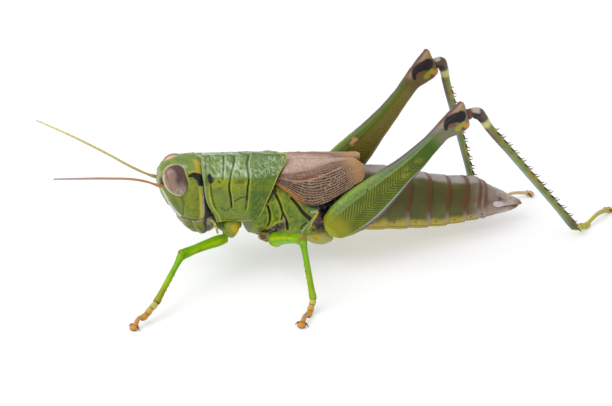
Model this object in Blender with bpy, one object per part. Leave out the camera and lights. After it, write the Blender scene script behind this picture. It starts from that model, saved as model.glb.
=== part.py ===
"""Short-winged green grasshopper, life size, standing on its six feet.

The head looks towards -X, the animal's left side towards -Y, and the floor is z = 0.
Every size below is in millimetres. Lengths along the body are measured from the middle
of the pronotum's rear edge, which an empty carries, so that the origin ends up under the
middle of the animal's box.
"""
import math

import bpy
import bmesh
from mathutils import Vector

MM = 0.001
GAP = 0.3
REAR_EDGE_X = -4.25

# Trunk
SHIELD_TOP_FRONT = 11.35
SHIELD_TOP_REAR = 10.15
SHIELD_LOW_FRONT = 5.5
SHIELD_LOW_REAR = 5.2
SHIELD_HALF_FRONT = 2.5
SHIELD_HALF_REAR = 2.9
SHIELD_MIDDLE_FRONT = 8.7
SHIELD_MIDDLE_REAR = 8.0
SHIELD_SQUARE = 3.2
SULCI = (0.27, 0.38, 0.60)
SULCUS_DEPTH = 0.12
SULCUS_REACH = 0.035
KEEL = 0.14
THORAX_END = 3.6
THORAX_FRONT_LOW = -3.33
THORAX_FRONT_SLANT = 0.78
THORAX_UPRIGHT_TO = 5.4
SLOPE_FROM = 5.6
ABDOMEN_END = 19.9
SEGMENT_STEP = 0.12

# Head
EYE_LONG = 1.55
EYE_WIDE = 1.15
EYE_DEEP = 0.9
EYE_CENTRE = (-10.66, 1.4, 10.3)
EYE_AXIS = (-0.13, -0.4, 0.91)
ANTENNA_RADIUS = 0.26
ANTENNA_TIP_RADIUS = 0.14

# Wings
TEGMEN_THICKNESS = 0.5
VEIN_HEIGHT = 0.13
VEIN_COLUMNS = (2, 4, 6, 8, 10, 12)

# Feet
TARSUS_RADIUS = 0.3
PAD_DROP = 0.1
CLAW_LENGTH = 0.75
CLAW_RADIUS = 0.14


def clear_scene():
    for thing in list(bpy.data.objects):
        bpy.data.objects.remove(thing, do_unlink=True)


def finish(name, colour, roughness):
    look = bpy.data.materials.new(name)
    look.use_nodes = True
    surface = look.node_tree.nodes["Principled BSDF"]
    surface.inputs["Base Color"].default_value = (*colour, 1.0)
    surface.inputs["Roughness"].default_value = roughness
    surface.inputs["Metallic"].default_value = 0.0
    return look


def between(knots, place):
    """Value at a place on a line through (place, value) knots."""
    if place <= knots[0][0]:
        return knots[0][1]
    for (low, start), (high, end) in zip(knots, knots[1:]):
        if place <= high:
            share = (place - low) / (high - low)
            return start + (end - start) * share
    return knots[-1][1]


def flip(point, side):
    """The same point on the left (-1) or the right (1) side of the animal."""
    return Vector((point[0], abs(point[1]) * side, point[2]))


def oval_ring(angles, centre, across, rise, sink, half, square_up, square_low):
    """Ring round a centre; rise and sink are its heights above and below the centre."""
    ring = []
    for angle in angles:
        up = math.cos(angle)
        out = math.sin(angle)
        height = rise if up > 0 else sink
        power = square_up if up > 0 else square_low
        reach = (abs(up / height) ** power + abs(out / half) ** power) ** (-1 / power)
        ring.append(Vector(centre) + Vector(across) * out * reach + Vector((0, 0, up * reach)))
    return ring


def turn_angles(count):
    return [2 * math.pi * step / count for step in range(count)]


def loft(rings):
    """Closed surface through rings of equal count, with a fan over each end."""
    count = len(rings[0])
    points = [Vector(point) for ring in rings for point in ring]
    faces = []
    for low in range(0, count * (len(rings) - 1), count):
        for step in range(count):
            following = (step + 1) % count
            faces.append((low + step, low + following, low + count + following))
            faces.append((low + step, low + count + following, low + count + step))
    for low in (0, count * (len(rings) - 1)):
        middle = sum((points[low + step] for step in range(count)), Vector()) / count
        points.append(middle)
        for step in range(count):
            faces.append((low + step, low + (step + 1) % count, len(points) - 1))
    return points, faces


def make_mesh(name, points, faces):
    mesh = bpy.data.meshes.new(name)
    mesh.from_pydata([tuple(Vector(point) * MM) for point in points], [], faces)
    work = bmesh.new()
    work.from_mesh(mesh)
    bmesh.ops.recalc_face_normals(work, faces=work.faces)
    work.to_mesh(mesh)
    work.free()
    return mesh


def add_object(name, mesh, look):
    thing = bpy.data.objects.new(name, mesh)
    bpy.context.collection.objects.link(thing)
    thing.parent = measuring_point
    mesh.materials.clear()
    mesh.materials.append(look)
    mesh.shade_smooth()
    mesh.set_sharp_from_angle(angle=math.radians(35))
    return thing


def make_node(name, shape, look):
    return add_object(name, make_mesh(name, *shape), look)


def keep_largest(mesh):
    """Leave only the closed surface with the most faces."""
    work = bmesh.new()
    work.from_mesh(mesh)
    work.faces.ensure_lookup_table()
    unseen = set(work.faces)
    groups = []
    while unseen:
        group = set()
        front = [unseen.pop()]
        while front:
            face = front.pop()
            group.add(face)
            for edge in face.edges:
                for neighbour in edge.link_faces:
                    if neighbour in unseen:
                        unseen.remove(neighbour)
                        front.append(neighbour)
        groups.append(group)
    groups.sort(key=len, reverse=True)
    scraps = [face for group in groups[1:] for face in group]
    bmesh.ops.delete(work, geom=scraps, context="FACES")
    work.to_mesh(mesh)
    work.free()


def join_pieces(name, shapes, look, floor=False):
    """One closed body from pieces that run into each other; a foot is cut at the floor."""
    body = make_node(name, shapes[0], look)
    if len(shapes) > 1:
        others = bpy.data.collections.new(name + "_pieces")
        bpy.context.scene.collection.children.link(others)
        for number, shape in enumerate(shapes[1:]):
            piece = bpy.data.objects.new(f"{name}_piece_{number}", make_mesh(name, *shape))
            others.objects.link(piece)
            piece.parent = measuring_point
        union = body.modifiers.new("union", "BOOLEAN")
        union.operation = "UNION"
        union.operand_type = "COLLECTION"
        union.collection = others
        union.solver = "EXACT"
        bpy.context.view_layer.update()
        joined = bpy.data.meshes.new_from_object(
            body.evaluated_get(bpy.context.evaluated_depsgraph_get()))
        body.modifiers.remove(union)
        for piece in list(others.objects):
            bpy.data.objects.remove(piece, do_unlink=True)
        bpy.data.collections.remove(others)
        body.data = joined
        keep_largest(joined)
    if floor:
        cut_at_floor(body.data)
    joined = body.data
    joined.name = name
    joined.shade_smooth()
    joined.set_sharp_from_angle(angle=math.radians(35))
    return body


def cut_at_floor(mesh):
    """A flat sole: what reaches below the floor is cut off and the cut is closed."""
    work = bmesh.new()
    work.from_mesh(mesh)
    everything = list(work.verts) + list(work.edges) + list(work.faces)
    cut = bmesh.ops.bisect_plane(work, geom=everything, plane_co=(0, 0, 0), plane_no=(0, 0, 1),
                                 clear_inner=True, dist=1e-6)
    rim = [part for part in cut["geom_cut"] if isinstance(part, bmesh.types.BMEdge)]
    bmesh.ops.holes_fill(work, edges=rim, sides=0)
    bmesh.ops.triangulate(work, faces=work.faces)
    bmesh.ops.recalc_face_normals(work, faces=work.faces)
    work.to_mesh(mesh)
    work.free()


def limb(start, end, stations, sides=8, lean=Vector((0, 0, 1))):
    """Limb along a line; a station is (distance, lift, half height, half width)."""
    start = Vector(start)
    along = (Vector(end) - start).normalized()
    side = along.cross(lean).normalized()
    up = side.cross(along)
    rings = []
    for distance, lift, half_height, half_width in stations:
        centre = start + along * distance + up * lift
        rings.append([centre + up * half_height * math.cos(angle) + side * half_width * math.sin(angle)
                      for angle in turn_angles(sides)])
    return loft(rings)


def tube(route, radii, sides=8):
    """Tube along points, with a radius at each."""
    route = [Vector(point) for point in route]
    rings = []
    for number, (point, radius) in enumerate(zip(route, radii)):
        before = route[max(number - 1, 0)]
        after = route[min(number + 1, len(route) - 1)]
        along = (after - before).normalized()
        reference = Vector((0, 0, 1)) if abs(along.z) < 0.9 else Vector((1, 0, 0))
        side = along.cross(reference).normalized()
        up = side.cross(along)
        rings.append([point + up * radius * math.cos(angle) + side * radius * math.sin(angle)
                      for angle in turn_angles(sides)])
    return loft(rings)


def bend(knots, count):
    """Points on a smooth curve through knots."""
    knots = [Vector(knot) for knot in knots]
    padded = [knots[0] * 2 - knots[1]] + knots + [knots[-1] * 2 - knots[-2]]
    points = []
    for number in range(count):
        place = number / (count - 1) * (len(knots) - 1)
        first = min(int(place), len(knots) - 2)
        share = place - first
        a, b, c, d = padded[first:first + 4]
        points.append(0.5 * ((2 * b) + (c - a) * share + (2 * a - 5 * b + 4 * c - d) * share ** 2
                             + (3 * b - a - 3 * c + d) * share ** 3))
    return points


def egg(centre, long_axis, long_radius, wide_radius, deep_radius, side, rings=7, sides=14):
    """Egg-shaped body; the deep radius lies across the animal."""
    long_axis = Vector(long_axis).normalized()
    wide_axis = long_axis.cross(Vector((0, side, 0))).normalized()
    deep_axis = wide_axis.cross(long_axis)
    stack = []
    for step in range(1, rings + 1):
        height = math.cos(math.pi * step / (rings + 1))
        width = math.sqrt(1 - height * height)
        stack.append([Vector(centre) + long_axis * height * long_radius
                      + wide_axis * math.cos(angle) * width * wide_radius
                      + deep_axis * math.sin(angle) * width * deep_radius
                      for angle in turn_angles(sides)])
    points, faces = loft(stack)
    points[-2] = Vector(centre) + long_axis * long_radius
    points[-1] = Vector(centre) - long_axis * long_radius
    return points, faces


# Head capsule, from level outlines: height, front, back, half width

HEAD_ROUND_FRONT = 1.9
HEAD_SQUARE_BACK = 4.2
HEAD_LEVELS = (
    (5.95, -10.25, -7.4, 1.75), (6.5, -10.62, -7.62, 2.1), (7.3, -10.98, -8.1, 2.3),
    (8.2, -11.35, -8.45, 2.28), (9.1, -11.75, -8.62, 2.15), (9.9, -12.15, -8.7, 2.0),
    (10.5, -12.25, -8.7, 1.9), (11.0, -12.0, -8.62, 1.78), (11.35, -11.55, -8.5, 1.5),
    (11.6, -11.0, -8.6, 1.05), (11.72, -10.5, -8.9, 0.55),
)


def head_ring(height, front, back, half):
    middle = back + (front - back) * 0.45
    ring = []
    for angle in turn_angles(24):
        along = math.cos(angle)
        out = math.sin(angle)
        reach_x = abs(front - middle) if along < 0 else abs(back - middle)
        power = HEAD_ROUND_FRONT if along < 0 else HEAD_SQUARE_BACK
        reach = (abs(along / reach_x) ** power + abs(out / half) ** power) ** (-1 / power)
        ring.append(Vector((middle + along * reach, out * reach, height)))
    return ring


def build_head(look):
    points, faces = loft([head_ring(*level) for level in HEAD_LEVELS])
    sockets = []
    for side in (-1, 1):
        sockets.append(eye_shape(side, GAP * 0.5))
    head = make_node("head", (points, faces), look)
    for number, shape in enumerate(sockets):
        cutter = bpy.data.objects.new(f"socket_{number}", make_mesh("socket", *shape))
        bpy.context.collection.objects.link(cutter)
        cutter.parent = measuring_point
        cut = head.modifiers.new("socket", "BOOLEAN")
        cut.operation = "DIFFERENCE"
        cut.object = cutter
        cut.solver = "EXACT"
        cutter.hide_render = True
        cutter.display_type = "WIRE"
    bpy.context.view_layer.update()
    carved = bpy.data.meshes.new_from_object(
        head.evaluated_get(bpy.context.evaluated_depsgraph_get()))
    head.modifiers.clear()
    head.data = carved
    keep_largest(carved)
    carved.shade_smooth()
    carved.set_sharp_from_angle(angle=math.radians(35))
    for thing in [other for other in bpy.data.objects if other.name.startswith("socket_")]:
        bpy.data.objects.remove(thing, do_unlink=True)


def eye_shape(side, margin=0.0):
    axis = (EYE_AXIS[0], EYE_AXIS[1] * side, EYE_AXIS[2])
    return egg(flip(EYE_CENTRE, side), axis, EYE_LONG + margin, EYE_WIDE + margin,
               EYE_DEEP + margin, side)


ANTENNA_NEAR = ((-12.5, 0.85, 9.75), (-14.1, 1.2, 10.85), (-17.3, 2.2, 12.0), (-20.2, 3.2, 13.0),
                (-22.6, 4.2, 13.9))
ANTENNA_FAR = ((-12.55, 0.85, 10.0), (-14.1, 1.1, 11.0), (-16.1, 1.5, 12.3), (-19.3, 2.6, 14.1),
               (-22.1, 4.2, 15.3))


def build_antennae(look):
    for side, name, knots in ((-1, "left", ANTENNA_NEAR), (1, "right", ANTENNA_FAR)):
        route = bend([flip(knot, side) for knot in knots], 15)
        radii = [ANTENNA_RADIUS + (ANTENNA_TIP_RADIUS - ANTENNA_RADIUS) * max(0, step - 7) / 7
                 for step in range(15)]
        make_node(f"antenna_{name}", tube(route, radii, 7), look)


# Mouthparts, from level outlines: height, front, back, half width; a jaw has an outer width

LIP_LEVELS = ((5.65, -10.15, -9.35, 1.35), (5.0, -9.95, -9.15, 1.4), (4.2, -9.55, -8.9, 1.2),
              (3.6, -9.15, -8.7, 0.8))
JAW_LEVELS = ((5.62, -9.0, -8.25, 1.8), (4.9, -8.85, -8.2, 1.7), (4.2, -8.55, -8.05, 1.35),
              (3.75, -8.4, -8.05, 0.85))
JAW_INNER = 0.2
LOWER_LIP_LEVELS = ((5.62, -7.95, -7.5, 1.2), (4.9, -7.9, -7.35, 1.25), (4.1, -7.75, -7.2, 1.0),
                    (3.6, -7.7, -7.3, 0.6))
PALP_KNOTS = ((-7.75, 1.72, 5.3), (-7.5, 1.95, 4.5), (-7.1, 2.0, 3.7))
PALP_RADII = (0.27, 0.26, 0.26, 0.25, 0.22, 0.14)


def build_mouth(olive, pale):
    """Upper lip in front, a jaw on each side, the lower lip behind, and two feelers."""
    lip = []
    for height, front, back, half in LIP_LEVELS:
        lip.append([Vector((x, y, height)) for x, y in (
            (front, -half * 0.45), (front, half * 0.45), (front + 0.25, half * 0.9),
            (back, half), (back + 0.1, half * 0.5), (back + 0.1, -half * 0.5),
            (back, -half), (front + 0.25, -half * 0.9))])
    make_node("labrum", loft(lip), olive)
    for side, name in ((-1, "left"), (1, "right")):
        jaw = []
        for height, front, back, outer in JAW_LEVELS:
            jaw.append([Vector((x, y * side, height)) for x, y in (
                (front, JAW_INNER), (front, outer * 0.8), (front * 0.6 + back * 0.4, outer),
                (back, outer * 0.9), (back, JAW_INNER))])
        make_node(f"mandible_{name}", loft(jaw), olive)
    lower = []
    for height, front, back, half in LOWER_LIP_LEVELS:
        lower.append([Vector((x, y, height)) for x, y in (
            (front, -half), (front, half), (back, half * 0.7), (back, -half * 0.7))])
    make_node("labium", loft(lower), olive)
    for side, name in ((-1, "left"), (1, "right")):
        route = bend([flip(knot, side) for knot in PALP_KNOTS], len(PALP_RADII))
        make_node(f"palp_{name}", tube(route, PALP_RADII, 7), pale)


# Pronotum: where its front and rear edges lie, by the angle from the top, in degrees

FRONT_EDGE = ((0, -8.05), (42, -8.42), (67, -8.36), (94, -8.2), (114, -7.85), (126, -7.4),
              (136, -7.15), (180, -7.05))
REAR_EDGE = ((0, 0.0), (20, -0.25), (46, -1.2), (61, -1.75), (88, -2.5), (113, -3.05),
             (128, -3.45), (140, -3.7), (180, -3.75))

# Front breast, from upright sections: place, top, belly, half width

BREAST_SECTIONS = ((-6.9, 5.0, 4.5, 0.9), (-6.5, 5.1, 4.1, 1.15), (-5.2, 4.9, 3.8, 1.2),
                   (-4.75, 4.8, 4.0, 1.0))


def shield_ring(share, shrink=0.0, keel=0.0, count=28):
    """Section of the pronotum between its front edge, 0, and its rear edge, 1."""
    middle = SHIELD_MIDDLE_FRONT + (SHIELD_MIDDLE_REAR - SHIELD_MIDDLE_FRONT) * share
    top = SHIELD_TOP_FRONT + (SHIELD_TOP_REAR - SHIELD_TOP_FRONT) * share
    low = SHIELD_LOW_FRONT + (SHIELD_LOW_REAR - SHIELD_LOW_FRONT) * share
    half = SHIELD_HALF_FRONT + (SHIELD_HALF_REAR - SHIELD_HALF_FRONT) * math.sin(share * math.pi / 2)
    angles = turn_angles(count)
    ring = oval_ring(angles, (0, 0, middle), (0, 1, 0), top - middle - shrink,
                     middle - low - shrink * 0.3, half - shrink, SHIELD_SQUARE, 4.5)
    for angle, point in zip(angles, ring):
        degrees = math.degrees(min(angle, 2 * math.pi - angle))
        front = between(FRONT_EDGE, degrees)
        rear = between(REAR_EDGE, degrees)
        point.x = front + (rear - front) * share
    ring[0].z += keel
    return ring


def build_pronotum(look):
    rings = [shield_ring(0, 0.18), shield_ring(0.02), shield_ring(0.1, 0.02, KEEL)]
    for sulcus in SULCI:
        rings.append(shield_ring(sulcus - SULCUS_REACH, 0.0, KEEL))
        rings.append(shield_ring(sulcus, SULCUS_DEPTH, 0.0))
        rings.append(shield_ring(sulcus + SULCUS_REACH, 0.0, KEEL))
    rings += [shield_ring(0.8, 0.0, KEEL), shield_ring(0.97, 0.0, KEEL), shield_ring(1.0, 0.14)]
    make_node("pronotum", loft(rings), look)
    belly = []
    for x, top, low, half in BREAST_SECTIONS:
        middle = (top + low) / 2
        belly.append(oval_ring(turn_angles(12), (x, 0, middle), (0, 1, 0), top - middle,
                               middle - low, half, 2.6, 2.6))
    make_node("prosternum", loft(belly), look)


# Thorax, from upright sections: place, top, belly, half width, height of the widest place.
# In front of them two sections slope with the pronotum's rear edge: height of the widest
# place, rise above it, sink below it, half width.

THORAX_SECTIONS = (
    (0.3, 9.0, 2.15, 2.85, 6.4), (1.5, 9.0, 1.95, 2.85, 5.8), (2.8, 8.7, 1.9, 2.8, 5.4),
    (3.6, 8.45, 1.95, 2.7, 5.2),
)
SLOPING_FRONT = (6.8, 2.3, 3.6, 2.7)
SLOPING_SECOND = (6.6, 2.4, 4.3, 2.9)
SECOND_SHARE = 0.45
FRONT_FACE_SHRINK = 0.5


def sloping_edge(height):
    """Place of the thorax's front at a height; low down it stands upright."""
    return THORAX_FRONT_LOW + (max(height, THORAX_UPRIGHT_TO) - SLOPE_FROM) * THORAX_FRONT_SLANT


def build_thorax(look):
    angles = turn_angles(28)
    wide, rise, sink, half = SLOPING_FRONT
    front = oval_ring(angles, (0, 0, wide), (0, 1, 0), rise, sink, half, 3.0, 2.5)
    inner = [Vector((0, point.y * FRONT_FACE_SHRINK, wide + (point.z - wide) * FRONT_FACE_SHRINK))
             for point in front]
    for point in front + inner:
        point.x = sloping_edge(point.z)
    wide, rise, sink, half = SLOPING_SECOND
    second = oval_ring(angles, (0, 0, wide), (0, 1, 0), rise, sink, half, 3.0, 2.5)
    for point in second:
        edge = sloping_edge(point.z)
        point.x = edge + (THORAX_SECTIONS[0][0] - edge) * SECOND_SHARE
    rings = [inner, front, second]
    for x, top, low, half, wide in THORAX_SECTIONS:
        rings.append(oval_ring(angles, (x, 0, wide), (0, 1, 0), top - wide, wide - low, half, 2.5, 2.3))
    make_node("thorax", loft(rings), look)


# Abdomen: place, top, belly, half width; and the places where one ring slides under the next

ABDOMEN_SHAPE = ((3.9, 8.5, 1.95, 2.7), (6.0, 8.2, 1.85, 2.8), (8.4, 7.65, 1.7, 2.85),
                 (10.8, 7.1, 1.35, 2.8), (14.0, 5.95, 1.0, 2.42), (17.0, 5.2, 0.98, 2.1),
                 (18.1, 4.95, 1.0, 1.95), (18.8, 4.6, 1.0, 1.75), (19.9, 3.75, 1.12, 1.35))
ABDOMEN_JOINTS = (5.0, 6.6, 8.7, 10.86, 12.94, 14.84, 16.62, 18.05, 18.72)


def abdomen_ring(x, grow):
    top = between([(row[0], row[1]) for row in ABDOMEN_SHAPE], x)
    low = between([(row[0], row[2]) for row in ABDOMEN_SHAPE], x)
    half = between([(row[0], row[3]) for row in ABDOMEN_SHAPE], x)
    middle = low + (top - low) * 0.47
    return oval_ring(turn_angles(22), (x, 0, middle), (0, 1, 0), top - middle + grow,
                     middle - low + grow, half + grow, 2.0, 2.2)


def build_abdomen(look):
    """Rings that widen towards the rear and step in where the next one begins."""
    edges = (THORAX_END + GAP,) + ABDOMEN_JOINTS + (ABDOMEN_END,)
    rings = []
    for start, end in zip(edges, edges[1:]):
        length = end - start
        rings.append(abdomen_ring(start, -SEGMENT_STEP * 0.8))
        rings.append(abdomen_ring(start + length * 0.35, 0.0))
        rings.append(abdomen_ring(start + length * 0.97, SEGMENT_STEP * 0.2))
    make_node("abdomen", loft(rings), look)


# Tail: height of each piece at its root and at its end, and its stations along the line

TAIL_START = ABDOMEN_END + GAP
VENT_PLATE_END = 21.4
VENT_PLATE_HEIGHTS = (3.2, 2.75)
VENT_PLATE_STATIONS = ((0, 0, 0.3, 0.75), (0.5, 0, 0.28, 0.65), (1.05, 0, 0.22, 0.4))
BLADE_END = 22.7
BLADES = {
    "ovipositor_upper": ((2.15, 1.6), ((0, 0, 0.3, 0.8), (0.9, 0.05, 0.28, 0.72),
                                       (1.5, 0.15, 0.3, 0.55), (2.1, 0.08, 0.26, 0.36),
                                       (2.55, 0.0, 0.12, 0.14))),
    "ovipositor_lower": ((1.3, 1.05), ((0, 0, 0.26, 0.72), (0.9, 0, 0.25, 0.62),
                                       (1.5, 0, 0.22, 0.48), (2.1, 0, 0.16, 0.3),
                                       (2.5, 0.04, 0.1, 0.13))),
}
CERCUS_ENDS = ((20.15, 1.32, 2.5), (21.15, 1.25, 2.3))
CERCUS_STATIONS = ((0, 0, 0.28, 0.22), (0.5, 0, 0.24, 0.2), (1.0, 0, 0.1, 0.1))


def build_tail(look):
    """Plate over the vent, an upper and a lower pair of egg-laying blades, and the cerci."""
    high, low = VENT_PLATE_HEIGHTS
    make_node("epiproct", limb((TAIL_START, 0, high), (VENT_PLATE_END, 0, low),
                               VENT_PLATE_STATIONS, 8), look)
    for name, ((high, low), stations) in BLADES.items():
        make_node(name, limb((TAIL_START, 0, high), (BLADE_END, 0, low), stations, 10), look)
    for side, name in ((-1, "left"), (1, "right")):
        root, tip = (flip(end, side) for end in CERCUS_ENDS)
        make_node(f"cercus_{name}", limb(root, tip, CERCUS_STATIONS, 7), look)


def tegmen_point(along, across, side, lift):
    """Point of the short wing: along from root, 0, to tip, 1, and across from the inner
    edge on the back, 0, to the lower edge on the flank, 1."""
    inner_x = between(((0, 0.45), (0.5, 3.3), (0.8, 5.5), (1, 6.9)), along)
    outer_x = between(((0, -0.9), (0.15, -0.6), (0.4, 1.6), (0.75, 4.4), (1, 6.6)), along)
    drop = between(((0, 0.42), (0.12, 0.72), (0.3, 1.0), (0.55, 0.92), (0.8, 0.62), (0.93, 0.36),
                    (1, 0.2)), along)
    inner_gap = between(((0, 0.2), (0.7, 0.22), (0.88, 0.75), (1, 1.5)), along)
    top = 9.5 - 0.95 * along
    wide = 3.18 - 0.12 * along
    deep = 3.6
    x = inner_x + (outer_x - inner_x) * across
    turn = across * drop * math.pi * 0.56
    start = math.asin(min(1, (inner_gap / wide) ** 1.6))
    angle = start + turn
    up = math.cos(angle)
    out = math.sin(angle)
    power = 2.7
    height = 2.0 if up > 0 else deep
    reach = (abs(up / height) ** power + abs(out / wide) ** power) ** (-1 / power)
    normal = Vector((0, out, up)).normalized()
    point = Vector((x, 0, top - 2.0)) + Vector((0, out * reach, up * reach)) + normal * lift
    point.y *= side
    return point


def tegmen_shape(side, rows=13, columns=15):
    """Curved plate, split into triangles alike on both faces."""
    points = []
    for lift in (0.0, TEGMEN_THICKNESS):
        for row in range(rows):
            for column in range(columns):
                along = row / (rows - 1)
                ridge = VEIN_HEIGHT if lift and column in VEIN_COLUMNS and 0 < row < rows - 1 else 0.0
                points.append(tegmen_point(along, column / (columns - 1), side, lift + ridge))
    faces = []
    sheet = rows * columns
    for row in range(rows - 1):
        for column in range(columns - 1):
            corner = row * columns + column
            for base in (0, sheet):
                faces.append((base + corner, base + corner + 1, base + corner + columns + 1))
                faces.append((base + corner, base + corner + columns + 1, base + corner + columns))
    rim = [column for column in range(columns)]
    rim += [row * columns + columns - 1 for row in range(1, rows)]
    rim += [(rows - 1) * columns + column for column in range(columns - 2, -1, -1)]
    rim += [row * columns for row in range(rows - 2, 0, -1)]
    for low, high in zip(rim, rim[1:] + rim[:1]):
        faces.append((low, high, high + sheet))
        faces.append((low, high + sheet, low + sheet))
    return points, faces


def build_tegmina(look):
    for side, name in ((-1, "left"), (1, "right")):
        make_node(f"tegmen_{name}", tegmen_shape(side), look)


# Legs: hip, knee, end of the shank and end of the foot

FRONT_NEAR = ((-6.55, -2.4, 4.1), (-11.01, -3.82, 3.96), (-14.24, -7.1, 1.55), (-16.75, -8.85, 0.3))
FRONT_FAR = ((-6.5, 2.6, 4.1), (-8.2, 6.7, 5.9), (-7.0, 8.8, 1.45), (-7.2, 11.3, 0.3))
MIDDLE_NEAR = ((-2.22, -2.87, 3.6), (-1.04, -8.27, 6.3), (-0.25, -9.75, 1.25), (-2.35, -12.75, 0.3))
MIDDLE_FAR = ((-2.22, 2.87, 3.6), (-1.2, 8.7, 5.2), (-3.9, 10.75, 1.3), (-4.9, 12.95, 0.3))
HIND_NEAR = ((2.87, -3.85, 3.6), (16.37, -3.4, 13.35), (26.38, -4.63, 0.85), (31.2, -1.35, 0.4))
HIND_FAR = ((3.65, 3.85, 3.35), (16.0, 4.05, 15.6), (19.5, 3.3, 0.85), (25.2, 3.5, 0.35))


def build_coxa(name, root, hip, radius, look):
    """Short stout joint between the body and the thigh."""
    root = Vector(root)
    hip = Vector(hip)
    length = (hip - root).length
    make_node(f"{name}_coxa", limb(root, hip, (
        (0, 0, radius * 0.75, radius * 0.75), (length * 0.35, 0, radius, radius),
        (length * 0.75, 0, radius * 0.92, radius * 0.92),
        (length, 0, radius * 0.62, radius * 0.62)), 9, Vector((1, 0, 0.1))), look)


def foot_shape(heel, toe):
    """Foot: first joint with its pad, the long last joint, the toe pad and two claws."""
    heel = Vector(heel)
    toe = Vector(toe)
    flat = Vector((toe.x - heel.x, toe.y - heel.y, 0))
    reach = flat.length
    ahead = flat.normalized()
    side = Vector((-ahead.y, ahead.x, 0))
    bottom = 0.22
    pad = heel + ahead * reach * 0.3
    pad.z = bottom
    start = heel + (pad - heel).normalized() * GAP * 0.5
    first = tube([start, heel.lerp(pad, 0.5) + Vector((0, 0, 0.08)), pad, pad + ahead * 0.4],
                 (TARSUS_RADIUS * 0.85, TARSUS_RADIUS, TARSUS_RADIUS * 1.1, TARSUS_RADIUS * 0.7), 8)
    last = tube([pad + Vector((0, 0, PAD_DROP)), pad.lerp(toe, 0.5) + Vector((0, 0, 0.32)),
                 Vector((toe.x, toe.y, 0.36)) - ahead * 0.5],
                (0.24, 0.25, 0.27), 7)
    sole = tube([Vector((toe.x, toe.y, 0.3)) - ahead * 0.85, Vector((toe.x, toe.y, 0.2)) - ahead * 0.45,
                 Vector((toe.x, toe.y, 0.14))], (0.25, 0.27, 0.18), 7)
    shapes = [first, last, sole]
    for way in (-1, 1):
        root = Vector((toe.x, toe.y, 0.32)) - ahead * 0.7
        tip = root + ahead * CLAW_LENGTH * 0.8 + side * way * 0.6
        tip.z = 0.08
        knee = root.lerp(tip, 0.55)
        knee.z = 0.42
        shapes.append(tube([root, knee, tip], (CLAW_RADIUS * 1.3, CLAW_RADIUS, CLAW_RADIUS * 0.45), 5))
    return shapes


# Walking legs: share of the length, half height and half width as shares of the thigh's half
# height; the shank's are in millimetres

WALKING_THIGH = ((0.12, 1.02, 0.9), (0.4, 1.0, 0.88), (0.75, 0.82, 0.76), (0.9, 0.86, 0.78),
                 (1.0, 0.85, 0.75))
WALKING_THIGH_ROOT = (0.8, 0.75)
WALKING_THIGH_CAP = (0.3, 0.5, 0.45)
WALKING_SHANK = ((0.0, 0.27, 0.25), (0.08, 0.32, 0.29), (0.5, 0.27, 0.26), (0.88, 0.3, 0.27))
WALKING_SHANK_END = (0.27, 0.26)


def build_walking_leg(name, joints, femur_half, looks):
    hip, knee, shank_end, toe = (Vector(joint) for joint in joints)
    thigh = (knee - hip).length
    high, wide = WALKING_THIGH_ROOT
    stations = [(GAP * 0.6, 0, femur_half * high, femur_half * wide)]
    for share, high, wide in WALKING_THIGH:
        stations.append((thigh * share, 0, femur_half * high, femur_half * wide))
    reach, high, wide = WALKING_THIGH_CAP
    stations.append((thigh + reach, 0, femur_half * high, femur_half * wide))
    make_node(f"{name}_femur", limb(hip, knee, stations, 10), looks["leg"])
    ahead = (shank_end - knee).normalized()
    start = knee + ahead * (femur_half * 0.85 + GAP)
    length = (shank_end - start).length
    stations = [(length * share, 0, high, wide) for share, high, wide in WALKING_SHANK]
    stations.append((length - GAP * 0.5, 0, *WALKING_SHANK_END))
    make_node(f"{name}_tibia", limb(start, shank_end, stations, 8, Vector((1, 0, 0.2))), looks["leg"])
    join_pieces(f"{name}_tarsus", foot_shape(shank_end, toe), looks["foot"], floor=True)


# Hind thigh: distance from the hip, upper edge, lower edge, half thickness

FEMUR_OUTLINE = ((-0.3, 0.95, -0.05, 0.45), (0.25, 1.74, -0.95, 0.7), (1.2, 2.15, -1.7, 0.8),
                 (2.6, 2.35, -2.08, 0.84), (4.2, 2.32, -2.05, 0.84), (6.2, 2.03, -1.65, 0.76),
                 (8.6, 1.66, -1.02, 0.66), (10.6, 1.52, -0.67, 0.56), (12.4, 1.57, -0.27, 0.5),
                 (13.8, 1.77, -0.05, 0.5), (14.8, 1.93, -0.33, 0.58), (15.6, 2.05, -0.48, 0.62),
                 (16.3, 2.05, -0.33, 0.55), (16.6, 1.95, 1.35, 0.4), (16.85, 1.8, 1.5, 0.25))
SHANK_BEND = {
    "hind_left": ((16.35, -3.4, 13.83), (16.9, -3.42, 13.9), (17.5, -3.45, 13.3), (18.1, -3.52, 12.2)),
    "hind_right": ((15.62, 4.1, 15.28), (16.0, 4.12, 15.28), (16.22, 4.1, 14.8), (16.5, 4.05, 13.4)),
}
SHANK_BEND_RADII = (0.36, 0.46, 0.5, 0.42)
SHANK_STATIONS = ((0.08, 0.38), (0.25, 0.36), (0.5, 0.33), (0.75, 0.31), (0.9, 0.34),
                  (0.97, 0.38), (1, 0.33))
SPINES_IN_ROW = 7
SPINES_FROM = 0.1
SPINES_TO = 0.97
SPINE_LENGTH = 0.85
SPINE_RADIUS = 0.22
SPINE_SIDES = 5
SPINE_SINK = 0.15
SPINE_FORWARD = 0.75
SPINE_SPREAD = 0.75


def hind_femur_shape(hip, knee):
    """Deep flat-sided thigh."""
    stations = [(distance, (upper + lower) / 2, (upper - lower) / 2, half)
                for distance, upper, lower, half in FEMUR_OUTLINE]
    return limb(hip, knee, stations, 14)


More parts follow.
